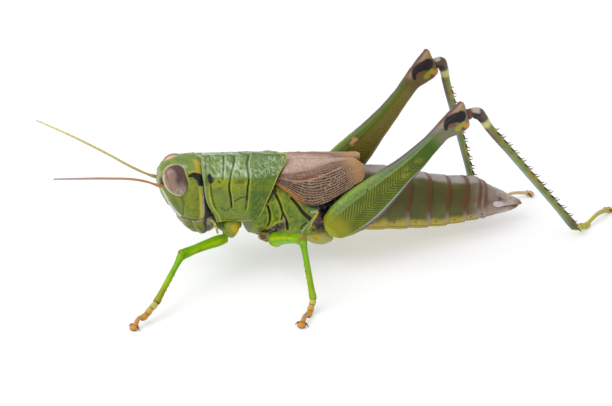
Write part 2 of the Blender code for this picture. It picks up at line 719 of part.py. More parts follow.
def spine_shape(root, direction, length, radius):
    """Thorn with its root sunk in the shank."""
    ahead = direction.normalized()
    side = ahead.cross(Vector((0, 1, 0))).normalized()
    up = side.cross(ahead)
    sunk = root - ahead * SPINE_SINK
    points = [sunk + (side * math.cos(angle) + up * math.sin(angle)) * radius
              for angle in turn_angles(SPINE_SIDES)]
    points += [root + ahead * length, sunk]
    faces = []
    for step in range(SPINE_SIDES):
        following = (step + 1) % SPINE_SIDES
        faces.append((step, following, SPINE_SIDES))
        faces.append((following, step, SPINE_SIDES + 1))
    return points, faces


def build_shank(name, shank_end, look):
    """Long thin shank, bent at the knee, with two rows of thorns along its rear edge."""
    bent = [Vector(point) for point in SHANK_BEND[name]]
    start = bent[-1]
    ahead = (shank_end - start).normalized()
    foot = shank_end - ahead * GAP * 0.5
    route = bent + [start.lerp(foot, share) for share, _ in SHANK_STATIONS]
    radii = SHANK_BEND_RADII + tuple(radius for _, radius in SHANK_STATIONS)
    shapes = [tube(route, radii, 8)]
    rear = Vector((1, 0, 0))
    rear = (rear - ahead * rear.dot(ahead)).normalized()
    across = rear.cross(ahead)
    for row, spread in ((0, SPINE_SPREAD), (1, -SPINE_SPREAD)):
        for number in range(SPINES_IN_ROW):
            share = (number + 0.5 * row) / SPINES_IN_ROW
            place = SPINES_FROM + (SPINES_TO - SPINES_FROM) * share
            normal = (rear + across * spread).normalized()
            root = start.lerp(foot, place) + normal * between(SHANK_STATIONS, place)
            shapes.append(spine_shape(root, normal + ahead * SPINE_FORWARD, SPINE_LENGTH, SPINE_RADIUS))
    join_pieces(f"{name}_tibia", shapes, look)


def build_hind_leg(name, joints, looks):
    hip, knee, shank_end, toe = (Vector(joint) for joint in joints)
    make_node(f"{name}_femur", hind_femur_shape(hip, knee), looks["thigh"])
    build_shank(name, shank_end, looks["shank"])
    join_pieces(f"{name}_tarsus", foot_shape(shank_end, toe), looks["foot"], floor=True)


clear_scene()
measuring_point = bpy.data.objects.new("pronotum_rear_edge", None)
bpy.context.collection.objects.link(measuring_point)
measuring_point.location = (REAR_EDGE_X * MM, 0, 0)
bpy.context.view_layer.update()

green = finish("green_shell", (0.13, 0.27, 0.04), 0.4)
olive = finish("olive_mouth", (0.2, 0.24, 0.08), 0.45)
eye_brown = finish("eye_brown", (0.3, 0.18, 0.15), 0.15)
feeler = finish("feeler", (0.5, 0.36, 0.2), 0.5)
wing = finish("wing_brown", (0.22, 0.13, 0.09), 0.5)
belly = finish("abdomen_olive", (0.14, 0.17, 0.05), 0.4)
tail_grey = finish("tail_grey", (0.3, 0.24, 0.17), 0.45)
leg_looks = {
    "leg": finish("leg_green", (0.2, 0.48, 0.03), 0.4),
    "thigh": finish("thigh_green", (0.24, 0.36, 0.05), 0.4),
    "shank": finish("shank_green", (0.2, 0.3, 0.12), 0.4),
    "foot": finish("foot_yellow", (0.5, 0.38, 0.12), 0.45),
}

build_head(green)
for eye_side, eye_name in ((-1, "left"), (1, "right")):
    make_node(f"eye_{eye_name}", eye_shape(eye_side), eye_brown)
build_antennae(feeler)
build_mouth(olive, feeler)
build_pronotum(green)
build_thorax(green)
build_abdomen(belly)
build_tail(tail_grey)
build_tegmina(wing)
for leg_name, leg_joints, leg_half in (
        ("front_left", FRONT_NEAR, 0.5), ("front_right", FRONT_FAR, 0.5),
        ("middle_left", MIDDLE_NEAR, 0.52), ("middle_right", MIDDLE_FAR, 0.52)):
    build_walking_leg(leg_name, leg_joints, leg_half, leg_looks)
for leg_name, leg_joints in (("hind_left", HIND_NEAR), ("hind_right", HIND_FAR)):
    build_hind_leg(leg_name, leg_joints, leg_looks)
for leg_side, side_name in ((-1, "left"), (1, "right")):
    for leg_name, root, hip, radius in (
            ("front", (-5.55, 2.05, 4.75), (-5.95, 2.15, 4.05), 0.62),
            ("middle", (-2.5, 2.3, 2.95), (-2.32, 2.6, 3.3), 0.52),
            ("hind", (1.1, 2.5, 2.95), (1.75, 3.1, 3.1), 0.6)):
        build_coxa(f"{leg_name}_{side_name}", flip(root, leg_side), flip(hip, leg_side), radius,
                   leg_looks["leg"])
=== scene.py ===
import math

import bpy
import numpy as np
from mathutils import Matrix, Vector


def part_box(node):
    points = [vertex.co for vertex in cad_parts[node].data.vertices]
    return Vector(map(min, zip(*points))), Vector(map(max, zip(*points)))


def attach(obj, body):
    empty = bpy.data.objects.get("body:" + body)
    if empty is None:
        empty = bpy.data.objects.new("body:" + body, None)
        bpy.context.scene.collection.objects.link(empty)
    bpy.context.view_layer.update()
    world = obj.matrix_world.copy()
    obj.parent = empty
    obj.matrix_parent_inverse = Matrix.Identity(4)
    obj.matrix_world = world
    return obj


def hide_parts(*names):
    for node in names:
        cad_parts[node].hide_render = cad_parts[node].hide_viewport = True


# Short-winged green grasshopper, life size, as it stands in the photograph.
# Sizes are in millimetres and lengths along the body run from the middle of the
# pronotum's rear edge: the head is towards -X, the animal's left side towards -Y.

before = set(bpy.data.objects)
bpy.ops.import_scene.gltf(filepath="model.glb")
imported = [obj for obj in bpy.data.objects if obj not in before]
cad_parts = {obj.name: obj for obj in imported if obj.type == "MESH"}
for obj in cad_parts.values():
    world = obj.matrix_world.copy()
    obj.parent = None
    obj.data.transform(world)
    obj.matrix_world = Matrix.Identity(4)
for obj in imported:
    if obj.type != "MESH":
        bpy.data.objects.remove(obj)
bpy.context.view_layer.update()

# Pronotum: the saddle-shaped shield behind the head, of thick, finely pitted cuticle.
# It is one plate, bent down over both flanks, folded in three cross furrows, with a low
# keel along the back and a bead along its front, rear and lower edges.

MM = 0.001
LINE_REACH = 1.2
LINE_SAMPLE = 2
LINE_SMOOTHING = 3
FAR_AWAY = 9.0
SIDES = ((-1, "left"), (1, "right"))
rear_edge_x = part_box("pronotum")[1].x


def ease(value, low, high):
    """0 below low, 1 above high, with a soft step between."""
    share = np.clip((np.asarray(value, float) - low) / (high - low), 0, 1)
    return share * share * (3 - 2 * share)


def fade(value, low, high):
    """1 below low, 0 above high: what ease leaves over."""
    return 1 - ease(value, low, high)


def between(pair, share):
    """Value that goes evenly from the first of a pair to the second."""
    return pair[0] + (pair[1] - pair[0]) * share


def bell(value, middle, width):
    """1 at the middle, falling off softly over a width on both sides."""
    return np.exp(-((value - middle) / width) ** 2)


def round_turn(count):
    """Angles at even steps once round."""
    return np.linspace(0, 2 * math.pi, count, endpoint=False)


def unit(vector):
    """The same direction with a length of 1."""
    return vector / np.linalg.norm(vector)


def grid_of(x, y, z):
    """Points from their three coordinates, which are spread to the same rows and columns."""
    return np.stack(np.broadcast_arrays(x, y, z), axis=-1)


def smooth_line(knots, places):
    """Values on a smooth curve through (place, value, ...) knots."""
    knots = np.asarray(knots, float)
    at, values = knots[:, 0], knots[:, 1:]
    slopes = np.gradient(values, at, axis=0)
    places = np.clip(np.asarray(places, float), at[0], at[-1])
    span = np.clip(np.searchsorted(at, places, side="right") - 1, 0, len(at) - 2)
    length = (at[span + 1] - at[span])[..., None]
    share = (places - at[span])[..., None] / length
    return (values[span] * (1 + 2 * share) * (1 - share) ** 2
            + slopes[span] * length * share * (1 - share) ** 2
            + values[span + 1] * share ** 2 * (3 - 2 * share)
            + slopes[span + 1] * length * share ** 2 * (share - 1))


def curve(knots, places):
    """One value on a smooth curve through (place, value) knots."""
    return smooth_line(knots, places)[..., 0]


def columns_of(knots, places):
    """Each value of a smooth curve as a column, with a row for each place."""
    return smooth_line(knots, places).T[..., None]


def smooth_path(knots, count):
    """Points at even steps on a smooth curve through knots."""
    knots = np.asarray(knots, float)
    steps = np.linalg.norm(np.diff(knots, axis=0), axis=1)
    at = np.concatenate([[0], np.cumsum(steps)]) / steps.sum()
    return smooth_line(np.column_stack([at, knots]), np.linspace(0, 1, count))


def from_line(points, knots, mirrored=True):
    """Distance of each point from a smooth line laid on the surface, and its place on it."""
    flat = points.reshape(-1, 3).copy()
    if mirrored:
        flat[:, 1] = np.abs(flat[:, 1])
    line = smooth_path(knots, 8 * len(knots))
    sample = flat[::LINE_SAMPLE]
    line = np.array([sample[np.argmin(((sample - spot) ** 2).sum(axis=1))] for spot in line])
    for _ in range(LINE_SMOOTHING):
        line[1:-1] = (line[:-2] + 2 * line[1:-1] + line[2:]) / 4
    near = np.all((flat > line.min(0) - LINE_REACH) & (flat < line.max(0) + LINE_REACH), axis=1)
    spots = flat[near]
    nearest = np.full(len(spots), FAR_AWAY)
    along = np.zeros(len(spots))
    for number, (start, end) in enumerate(zip(line[:-1], line[1:])):
        step = end - start
        share = np.clip((spots - start) @ step / max(step @ step, 1e-9), 0, 1)
        gap = np.linalg.norm(spots - start - share[:, None] * step, axis=1)
        closer = gap < nearest
        nearest[closer] = gap[closer]
        along[closer] = (number + share[closer]) / (len(line) - 1)
    distance = np.full(len(flat), FAR_AWAY)
    distance[near] = nearest
    place = np.zeros(len(flat))
    place[near] = along
    return distance.reshape(points.shape[:-1]), place.reshape(points.shape[:-1])


def stripe(points, knots, start_width, end_width=None, soft=0.04, mirrored=True):
    """Mask of a painted or folded line; its half width may change from start to end."""
    distance, along = from_line(points, knots, mirrored)
    width = start_width + ((end_width or start_width) - start_width) * along
    return fade(distance, width - soft, width + soft)


def cell_number(cells, seed):
    """Repeatable random number, 0 to 1, for each whole-numbered cell."""
    cells = cells.astype(np.int64)
    mixed = (cells[..., 0] * 73856093) ^ (cells[..., 1] * 19349663) ^ (cells[..., 2] * 83492791)
    mixed = (mixed ^ (seed * 2654435761)) & 0xFFFFFFFF
    mixed = ((mixed ^ (mixed >> 15)) * 2246822519) & 0xFFFFFFFF
    mixed = ((mixed ^ (mixed >> 13)) * 3266489917) & 0xFFFFFFFF
    return ((mixed ^ (mixed >> 16)) & 0xFFFF) / 0xFFFF


def ripple(points, size, seed=0):
    """Smooth unevenness, -1 to 1, with bumps about one size across."""
    place = points / size
    cell = np.floor(place)
    share = place - cell
    share = share * share * (3 - 2 * share)
    total = np.zeros(points.shape[:-1])
    for corner in np.ndindex(2, 2, 2):
        weight = np.prod(np.where(np.array(corner) == 1, share, 1 - share), axis=-1)
        total += weight * cell_number(cell + np.array(corner), seed)
    return total * 2 - 1


def blotches(points, size, seed, low, high):
    """Mask of the bumps of a ripple, edged softly from low to high."""
    return ease(ripple(points, size, seed), low, high)


def cell_gaps(points, size, seed=0):
    """Distance to the nearest and the second nearest of scattered centres, in sizes."""
    place = points / size
    home = np.floor(place)
    first = np.full(points.shape[:-1], FAR_AWAY)
    second = first.copy()
    for step in np.ndindex(3, 3, 3):
        cell = home + np.array(step) - 1
        centre = cell + np.stack([cell_number(cell, seed + axis) for axis in range(3)], axis=-1)
        gap = np.linalg.norm(place - centre, axis=-1)
        second = np.minimum(second, np.maximum(first, gap))
        first = np.minimum(first, gap)
    return first, second


def raised(grid, height):
    """Grid moved out along its normals by a height at each point."""
    down = np.gradient(grid, axis=0)
    around = np.roll(grid, -1, axis=1) - np.roll(grid, 1, axis=1)
    normal = np.cross(down, around)
    normal /= np.maximum(np.linalg.norm(normal, axis=-1, keepdims=True), 1e-9)
    away = grid - grid.mean(axis=1, keepdims=True)
    if (normal * away).sum() <= 0:
        normal = -normal
    return grid + normal * height[..., None]


def shade(red, green, blue):
    """Paint given by its red, green and blue on a screen, 0 to 255."""
    value = np.array([red, green, blue]) / 255
    return np.where(value < 0.04045, value / 12.92, ((value + 0.055) / 1.055) ** 2.4)


def layered(paint, *layers):
    """Paint with (colour, mask) layers laid over it in turn, each where its mask is 1."""
    for colour, mask in layers:
        paint = paint + (colour - paint) * np.clip(mask, 0, 1)[..., None]
    return paint


def painted(grid, colour, *layers):
    """Paint of a grid: one colour all over, with layers laid over it in turn."""
    return layered(np.broadcast_to(colour, grid.shape), *layers)


def sheet(grid, paint):
    """Points, faces and paint of one surface: rings of points, with a lid at each end."""
    rows, columns = grid.shape[:2]
    index = np.arange(rows * columns).reshape(rows, columns)
    following = np.roll(index, -1, axis=1)
    quads = np.stack([index[:-1], following[:-1], following[1:], index[1:]], axis=-1).reshape(-1, 4)
    points, colours = grid.reshape(-1, 3), paint.reshape(-1, 3)
    corner = points[quads]
    turn = np.cross(corner[:, 1] - corner[:, 0], corner[:, 3] - corner[:, 0])
    away = corner[:, 0] - grid.mean(axis=1)[quads[:, 0] // columns]
    flipped = (turn * away).sum() < 0
    faces = (quads[:, ::-1] if flipped else quads).tolist()
    for row in (0, rows - 1):
        ring = index[row].tolist()
        lid = len(points)
        points = np.vstack([points, grid[row].mean(axis=0)])
        colours = np.vstack([colours, paint[row].mean(axis=0)])
        for low, high in zip(ring, ring[1:] + ring[:1]):
            faces.append([low, high, lid] if (row == 0) == flipped else [high, low, lid])
    return points, faces, colours


def make_piece(name, parts, finish, replaces=()):
    """One mesh from sheets, in metres, riding on the body, in place of its CAD nodes."""
    points, faces, colours = [], [], []
    for part_points, part_faces, part_colours in parts:
        offset = sum(len(block) for block in points)
        points.append(part_points)
        colours.append(part_colours)
        faces += [[corner + offset for corner in face] for face in part_faces]
    points = np.vstack(points) * MM + (rear_edge_x, 0, 0)
    colours = np.vstack(colours)
    mesh = bpy.data.meshes.new(name)
    mesh.from_pydata(points.tolist(), [], faces)
    layer = mesh.attributes.new("paint", "FLOAT_COLOR", "POINT")
    full = np.column_stack([colours, np.ones(len(colours))]).astype(np.float32)
    layer.data.foreach_set("color", full.ravel())
    mesh.materials.append(finish)
    mesh.shade_smooth()
    piece = bpy.data.objects.new(name, mesh)
    bpy.context.scene.collection.objects.link(piece)
    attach(piece, "root")
    if replaces:
        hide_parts(*replaces)
    return piece


def cuticle_group():
    """Shared surface of all cuticle: cloudy tone, fine grain and pits over the paint."""
    group = bpy.data.node_groups.new("Cuticle", "ShaderNodeTree")
    wanted = (("Paint", "NodeSocketColor"), ("Roughness", "NodeSocketFloat"),
              ("Cloud Size", "NodeSocketFloat"), ("Cloud Strength", "NodeSocketFloat"),
              ("Grain Size", "NodeSocketFloat"), ("Grain Height", "NodeSocketFloat"),
              ("Pit Size", "NodeSocketFloat"), ("Pit Depth", "NodeSocketFloat"))
    for label, kind in wanted:
        group.interface.new_socket(label, in_out="INPUT", socket_type=kind)
    for label, kind in (("Colour", "NodeSocketColor"), ("Roughness", "NodeSocketFloat"),
                        ("Height", "NodeSocketFloat")):
        group.interface.new_socket(label, in_out="OUTPUT", socket_type=kind)
    nodes, links = group.nodes, group.links
    given = nodes.new("NodeGroupInput")
    result = nodes.new("NodeGroupOutput")
    place = nodes.new("ShaderNodeTexCoord")

    def sum_up(kind, first, second):
        step = nodes.new("ShaderNodeMath")
        step.operation = kind
        for socket, source in zip(step.inputs, (first, second)):
            if isinstance(source, (int, float)):
                socket.default_value = source
            else:
                links.new(source, socket)
        return step.outputs[0]

    def texture(kind, size_label):
        tex = nodes.new(kind)
        links.new(place.outputs["Object"], tex.inputs["Vector"])
        links.new(sum_up("DIVIDE", 1 / MM, given.outputs[size_label]), tex.inputs["Scale"])
        return tex

    cloud = texture("ShaderNodeTexNoise", "Cloud Size")
    cloud.inputs["Detail"].default_value = 4
    grain = texture("ShaderNodeTexNoise", "Grain Size")
    grain.inputs["Detail"].default_value = 3
    pit = texture("ShaderNodeTexVoronoi", "Pit Size")
    swing = sum_up("MULTIPLY", sum_up("SUBTRACT", cloud.outputs["Fac"], 0.5),
                   given.outputs["Cloud Strength"])
    fine = sum_up("MULTIPLY", sum_up("SUBTRACT", grain.outputs["Fac"], 0.5),
                  given.outputs["Cloud Strength"])
    bright = sum_up("ADD", 1.0, sum_up("ADD", swing, sum_up("MULTIPLY", fine, 0.9)))
    hollow = sum_up("SUBTRACT", 1.0, sum_up("MULTIPLY", pit.outputs["Distance"], 2.2))
    hollow = sum_up("MAXIMUM", hollow, 0.0)
    bright = sum_up("SUBTRACT", bright, sum_up("MULTIPLY", hollow, given.outputs["Pit Depth"]))
    tint = nodes.new("ShaderNodeMix")
    tint.data_type = "RGBA"
    tint.blend_type = "MULTIPLY"
    tint.inputs["Factor"].default_value = 1
    combine = nodes.new("ShaderNodeCombineColor")
    for channel in ("Red", "Green", "Blue"):
        links.new(bright, combine.inputs[channel])
    links.new(given.outputs["Paint"], tint.inputs["A"])
    links.new(combine.outputs[0], tint.inputs["B"])
    links.new(tint.outputs["Result"], result.inputs["Colour"])
    rough = sum_up("ADD", given.outputs["Roughness"], sum_up("MULTIPLY", swing, 0.5))
    links.new(rough, result.inputs["Roughness"])
    height = sum_up("MULTIPLY", grain.outputs["Fac"], given.outputs["Grain Height"])
    height = sum_up("SUBTRACT", height, sum_up("MULTIPLY", hollow, given.outputs["Pit Depth"]))
    links.new(height, result.inputs["Height"])
    return group


cuticle = cuticle_group()


def cuticle_finish(name, roughness, cloud=(1.2, 0.35), grain=(0.07, 0.5), pits=(0.2, 0.0),
                   coat=0.0, bump=0.05, shine=0.35):
    """Cuticle material: paint from the mesh, worked over by the shared group."""
    finish = bpy.data.materials.new(name)
    finish.use_nodes = True
    nodes, links = finish.node_tree.nodes, finish.node_tree.links
    surface = nodes["Principled BSDF"]
    paint = nodes.new("ShaderNodeAttribute")
    paint.attribute_name = "paint"
    detail = nodes.new("ShaderNodeGroup")
    detail.node_tree = cuticle
    links.new(paint.outputs["Color"], detail.inputs["Paint"])
    for label, value in (("Roughness", roughness), ("Cloud Size", cloud[0]),
                         ("Cloud Strength", cloud[1]), ("Grain Size", grain[0]),
                         ("Grain Height", grain[1]), ("Pit Size", pits[0]),
                         ("Pit Depth", pits[1])):
        detail.inputs[label].default_value = value
    lift = nodes.new("ShaderNodeBump")
    lift.inputs["Strength"].default_value = 1.0
    lift.inputs["Distance"].default_value = bump * MM
    links.new(detail.outputs["Colour"], surface.inputs["Base Color"])
    links.new(detail.outputs["Roughness"], surface.inputs["Roughness"])
    links.new(detail.outputs["Height"], lift.inputs["Height"])
    links.new(lift.outputs["Normal"], surface.inputs["Normal"])
    surface.inputs["Coat Weight"].default_value = coat
    surface.inputs["Coat Roughness"].default_value = 0.25
    surface.inputs["Specular IOR Level"].default_value = shine
    return finish


def oval(angles, rise, sink, half, square_up, square_low):
    """Sideways and upward reach of a squarish ring, by the angle from its top."""
    up, out = np.cos(angles), np.sin(angles)
    height = np.where(up > 0, rise, sink)
    power = np.where(up > 0, square_up, square_low)
    reach = (np.abs(up / height) ** power + np.abs(out / half) ** power) ** (-1 / power)
    return out * reach, up * reach


LEAF_GREEN = shade(112, 132, 34)
DEEP_GREEN = shade(62, 96, 8)
YELLOW_GREEN = shade(140, 152, 8)
PALE_GREEN = shade(142, 164, 108)
PALE_AND_SHEEN_GREEN = shade(182, 198, 172)
RIM_YELLOW = shade(186, 182, 48)
OLIVE_BROWN = shade(84, 78, 6)
BLUE_BLACK = shade(10, 8, 20)

SHIELD_ROWS = 220
SHIELD_COLUMNS = 320
SHIELD_TOP = (11.35, 10.15)
SHIELD_LOW = (5.5, 5.2)
SHIELD_HALF = (2.5, 2.9)
SHIELD_MIDDLE = (8.7, 8.0)
SHIELD_SQUARE = (3.2, 4.5)
SHIELD_FRONT_EDGE = ((0, -8.05), (42, -8.5), (67, -8.45), (94, -8.34), (114, -8.06), (126, -7.68),
                     (136, -7.42), (180, -7.3))
SHIELD_REAR_EDGE = ((0, 0.0), (20, -0.25), (46, -1.2), (61, -1.75), (88, -2.5), (113, -3.05),
                    (128, -3.45), (140, -3.7), (180, -3.75))
FIRST_FURROW = ((-6.0, 0.0, 11.0), (-6.22, 0.9, 10.95), (-6.5, 1.74, 10.65), (-6.72, 2.32, 10.22))
SECOND_FURROW = ((-4.95, 0.0, 10.9), (-5.26, 0.9, 10.75), (-5.95, 2.23, 10.32), (-6.2, 2.62, 9.6),
                 (-6.06, 2.65, 8.28), (-6.02, 2.62, 7.38))
THIRD_FURROW = ((-3.6, 0.0, 10.65), (-4.06, 1.06, 10.65), (-4.3, 2.31, 9.9), (-4.51, 2.67, 9.15),
                (-4.61, 2.84, 7.97), (-4.74, 2.82, 7.0))
BRANCH_FURROW = ((-5.74, 2.75, 8.02), (-5.3, 2.79, 8.25), (-4.71, 2.76, 8.33))
CURLED_FURROW = ((-6.93, 2.6, 7.45), (-6.49, 2.6, 7.18), (-6.1, 2.62, 7.44))
SHOULDER_LINE = ((-7.9, 2.1, 10.57), (-6.43, 2.2, 10.3), (-4.18, 2.4, 9.9), (-2.0, 2.5, 9.75))
SHIELD_SPOT = ((-7.95, 2.1, 10.55), (-7.85, 2.3, 10.25))
SMALL_SPOT = ((-7.15, 2.4, 10.12), (-6.95, 2.45, 10.05))
LIGHT_SHIFT = 0.17
THIRD_SLOPE = 0.43
FURROW_DEPTH = 0.13
KEEL_HEIGHT = 0.06
ROOF_HEIGHT = 0.26

turn = round_turn(SHIELD_COLUMNS)[None, :]
share = np.linspace(0, 1, SHIELD_ROWS)[:, None]
middle = between(SHIELD_MIDDLE, share)
top = between(SHIELD_TOP, share)
low = between(SHIELD_LOW, share)
half = between(SHIELD_HALF, np.sin(share * math.pi / 2))
out, up = oval(turn, top - middle, middle - low, half, *SHIELD_SQUARE)
degrees = np.degrees(np.minimum(turn, 2 * math.pi - turn))
front_x = curve(SHIELD_FRONT_EDGE, degrees)
rear_x = curve(SHIELD_REAR_EDGE, degrees)
shield = grid_of(front_x + (rear_x - front_x) * share, out, middle + up)

shield_x, shield_y, shield_z = np.moveaxis(shield, -1, 0)
from_front = shield_x - front_x
from_rear = rear_x - shield_x
height = np.zeros(shield.shape[:2])
furrow_1 = stripe(shield, FIRST_FURROW, 0.07, 0.04, 0.06)
furrow_2 = stripe(shield, SECOND_FURROW, 0.07, 0.07, 0.06)
furrow_3 = stripe(shield, THIRD_FURROW, 0.08, 0.06, 0.06)
branch = stripe(shield, BRANCH_FURROW, 0.05, 0.05)
curl = stripe(shield, CURLED_FURROW, 0.035, 0.035)
furrows = np.maximum.reduce([furrow_1, furrow_2, furrow_3, branch * 0.7, curl * 0.7])
height -= FURROW_DEPTH * furrows
on_back = shield_z > 9
keel = bell(shield_y, 0, 0.13) * on_back
height += KEEL_HEIGHT * keel * (1 - furrows)
height += ROOF_HEIGHT * np.exp(-(np.abs(shield_y) / 0.62) ** 1.5) * on_back * ease(from_front, 0, 0.8)
bead_low = bell(shield_z - low, 0.34, 0.11) * (np.abs(shield_y) > 1.9)
bead_front = bell(from_front, 0.07, 0.07) + 0.8 * bell(from_front, 0.42, 0.08) * ease(degrees, 55, 80)
bead_rear = bell(from_rear, 0.06, 0.06)
ditch_front = bell(from_front, 0.6, 0.06) * ease(degrees, 52, 66) * fade(degrees, 112, 124)
height += 0.05 * bead_low + 0.06 * np.minimum(bead_front, 1) + 0.06 * bead_rear - 0.07 * ditch_front
height += 0.05 * ripple(shield, 1.1, 1) + 0.02 * ripple(shield, 0.4, 2)
past_third = shield_x - THIRD_FURROW[0][0] + THIRD_SLOPE * np.abs(shield_y)
rear_rise = ease(past_third, -0.05, 0.1) * fade(past_third, 0.8, 2.5)
front_sag = ease(-past_third, 0.0, 0.1) * fade(-past_third, 0.6, 2.2)
near_keel = bell(shield_y, 0, 1.2) * ease(shield_z, 9.2, 10.0)
height += near_keel * (0.12 * rear_rise - 0.07 * front_sag)
rear_field = ease(shield_x, -4.6, -4.0) * (degrees < 130)
dents = fade(cell_gaps(shield * (1, 1, 0.8), 0.3, 5)[0], 0.15, 0.55)
height -= 0.035 * dents * (0.35 + 0.65 * rear_field) * (1 - furrows)
wrinkles = ripple(shield * (1, 0.35, 0.35), 0.16, 7)
height += 0.014 * wrinkles * (1 - rear_field)
height -= 0.12 * fade(from_front, 0, 0.05) + 0.1 * fade(from_rear, 0, 0.04)
shield_shell = raised(shield, height)

shoulder_z = curve([(knot[0], knot[2]) for knot in SHOULDER_LINE], shield_x)
# Above the shoulder line the top is partly a paler green of its own and partly painted sheen, where it faces
# the light.
pale_lit_top = ease(shield_z - shoulder_z + 0.12 * ripple(shield, 0.5, 9), -0.08, 0.25)
below = ease(shoulder_z - shield_z, -0.05, 0.15) * fade(shoulder_z - shield_z, 0.7, 1.5)
blotch = blotches(shield, 0.55, 11, 0.1, 0.5) * below
crests = ripple(shield * (1, 0.4, 0.4), 0.15, 13) + 0.7 * ripple(shield, 0.32, 14)
leaned_back = shield * (1, 0.5, 0.5) + shield_z[..., None] * (0.2, 0, 0)
flecks = ripple(leaned_back, 0.085, 17) + 0.5 * ripple(leaned_back, 0.2, 18)
low_back = 1 - 0.7 * ease(shield_z, 10.2, 10.7)
grain = ripple(shield, 0.17, 19)
paint = painted(
    shield, LEAF_GREEN,
    (DEEP_GREEN, 0.84 * rear_field),
    (YELLOW_GREEN, 0.8 * below * (1 - 0.75 * rear_field)),
    (OLIVE_BROWN, 0.75 * blotch * (1 - rear_field)),
    # Paler top: its own pale green with painted sheen, and whitish painted highlights on its ripples with
    # darker green between them.
    (PALE_GREEN, 0.85 * pale_lit_top * (1 - 0.5 * rear_field)),
    (PALE_AND_SHEEN_GREEN, 0.9 * pale_lit_top * ease(crests, 0.0, 0.55) * (1 - rear_field)),
    # White painted highlight flecks on the dark green rear field, with the dark green left between them.
    (PALE_AND_SHEEN_GREEN, 0.7 * pale_lit_top * rear_field * ease(flecks, 0.05, 0.6) * low_back),
    (DEEP_GREEN, 0.6 * pale_lit_top * rear_field * ease(-flecks, 0.1, 0.6) * low_back),
    (DEEP_GREEN, 0.3 * (1 - pale_lit_top) * ease(grain, 0.1, 0.6)),
    (YELLOW_GREEN, 0.35 * (1 - pale_lit_top) * ease(-grain, 0.1, 0.6)),
    (DEEP_GREEN, 0.6 * pale_lit_top * ease(-crests, 0.15, 0.7) * (1 - rear_field)),
    # Painted shade in the pits of the pale top.
    (DEEP_GREEN, 0.3 * dents * pale_lit_top),
)
for knots in (FIRST_FURROW, SECOND_FURROW, THIRD_FURROW):
    # Painted highlight along the rear side of each cross furrow.
    furrow_highlight = stripe(shield - (LIGHT_SHIFT, 0, 0), knots, 0.05, 0.05, 0.05)
    paint = layered(
        paint,
        (PALE_AND_SHEEN_GREEN, 0.7 * furrow_highlight * pale_lit_top),
        (RIM_YELLOW, 0.5 * furrow_highlight * (1 - pale_lit_top)),
    )
dark_part = (shield_z < 9.95) & (shield_z > 7.4)
spot = from_line(shield, SHIELD_SPOT)[0] + 0.1 * ripple(shield, 0.3, 15)
paint = layered(
    paint,
    (DEEP_GREEN, 0.55 * bell(shield_y, 0, 0.16) * pale_lit_top),
    (DEEP_GREEN, 0.8 * np.maximum(furrow_1, furrow_2) + 0.8 * furrow_3),
    (BLUE_BLACK, 0.95 * np.maximum(furrow_2, furrow_3 * (shield_z > 7.9)) * dark_part),
    (BLUE_BLACK, 0.85 * branch + 0.6 * curl),
    (BLUE_BLACK, 0.8 * ditch_front),
    (PALE_GREEN, 0.9 * bell(from_front, 0.07, 0.08)),
    (DEEP_GREEN, 0.75 * bell(from_front, 0.36, 0.1) * fade(degrees, 48, 60)),
    (RIM_YELLOW, 0.85 * bell(from_front, 0.4, 0.1) * ease(degrees, 60, 90)),
    (RIM_YELLOW, 0.8 * bead_rear),
    (RIM_YELLOW, 0.85 * bead_low),
    (BLUE_BLACK, 0.6 * bell(shield_z - low, 0.58, 0.05) * (np.abs(shield_y) > 1.9)
     * ease(shield_x, -6.6, -6.2)),
    (BLUE_BLACK, fade(spot, 0.18, 0.28)),
    (BLUE_BLACK, 0.8 * stripe(shield, SMALL_SPOT, 0.09, 0.05, 0.06)),
    (OLIVE_BROWN, (shield_z < low + 0.2) * 0.7),
)

green_shell = cuticle_finish("green_shell", 0.42, cloud=(0.9, 0.45), grain=(0.1, 0.6),
                             pits=(0.16, 0.12), coat=0.15, bump=0.06)
make_piece("pronotum_shell", [sheet(shield_shell, paint)], green_shell, ["pronotum"])

# Head: a hard capsule, highest behind the eyes, with a slanting face, a ridge down each
# side of the face, a groove under each eye and full cheeks. It is one shell of green
# cuticle, set into the shield's collar.

HEAD_SHAPE = (
    (5.95, -10.35, -7.5, 1.75), (6.5, -10.78, -7.5, 2.1), (7.3, -11.35, -7.7, 2.3),
    (8.2, -11.82, -7.8, 2.28), (9.1, -12.16, -7.8, 2.15), (9.9, -12.22, -7.8, 2.05),
    (10.5, -12.16, -7.75, 1.98), (11.0, -11.82, -7.7, 1.8), (11.25, -11.42, -7.7, 1.5),
    (11.5, -10.92, -7.9, 1.1), (11.66, -10.5, -8.4, 0.6), (11.7, -10.1, -9.0, 0.1),
)
HEAD_ROWS = 230
HEAD_COLUMNS = 300
COLLAR_TUCK = 0.16
EYE_CENTRE = np.array([-10.78, 1.4, 10.3])
RIGHT_EYE_SHIFT = np.array([0.5, -0.12, -0.05])
EYE_AXIS = np.array([-0.22, -0.4, 0.9])
EYE_RADII = (1.47, 1.13, 0.9)
FACE_RIDGE = ((-12.1, 0.7, 9.8), (-11.8, 0.95, 9.11), (-11.5, 1.08, 8.68), (-11.25, 1.2, 8.18),
              (-10.85, 1.32, 7.23), (-10.55, 1.4, 6.6))
CHEEK_GROOVE = ((-10.5, 2.1, 8.9), (-10.3, 2.1, 8.25), (-10.25, 1.6, 6.72))
BEHIND_EYE = ((-9.65, 1.75, 10.75), (-9.3, 1.85, 10.82), (-8.9, 1.95, 10.66), (-8.4, 2.0, 10.15))
FACE_SHADE = ((-11.2, 1.55, 9.0), (-10.95, 1.65, 8.4), (-10.65, 1.75, 7.6), (-10.4, 1.8, 6.9))
EYE_STREAK = ((-9.45, 1.95, 9.7), (-9.6, 2.1, 9.4), (-9.9, 2.2, 8.9))
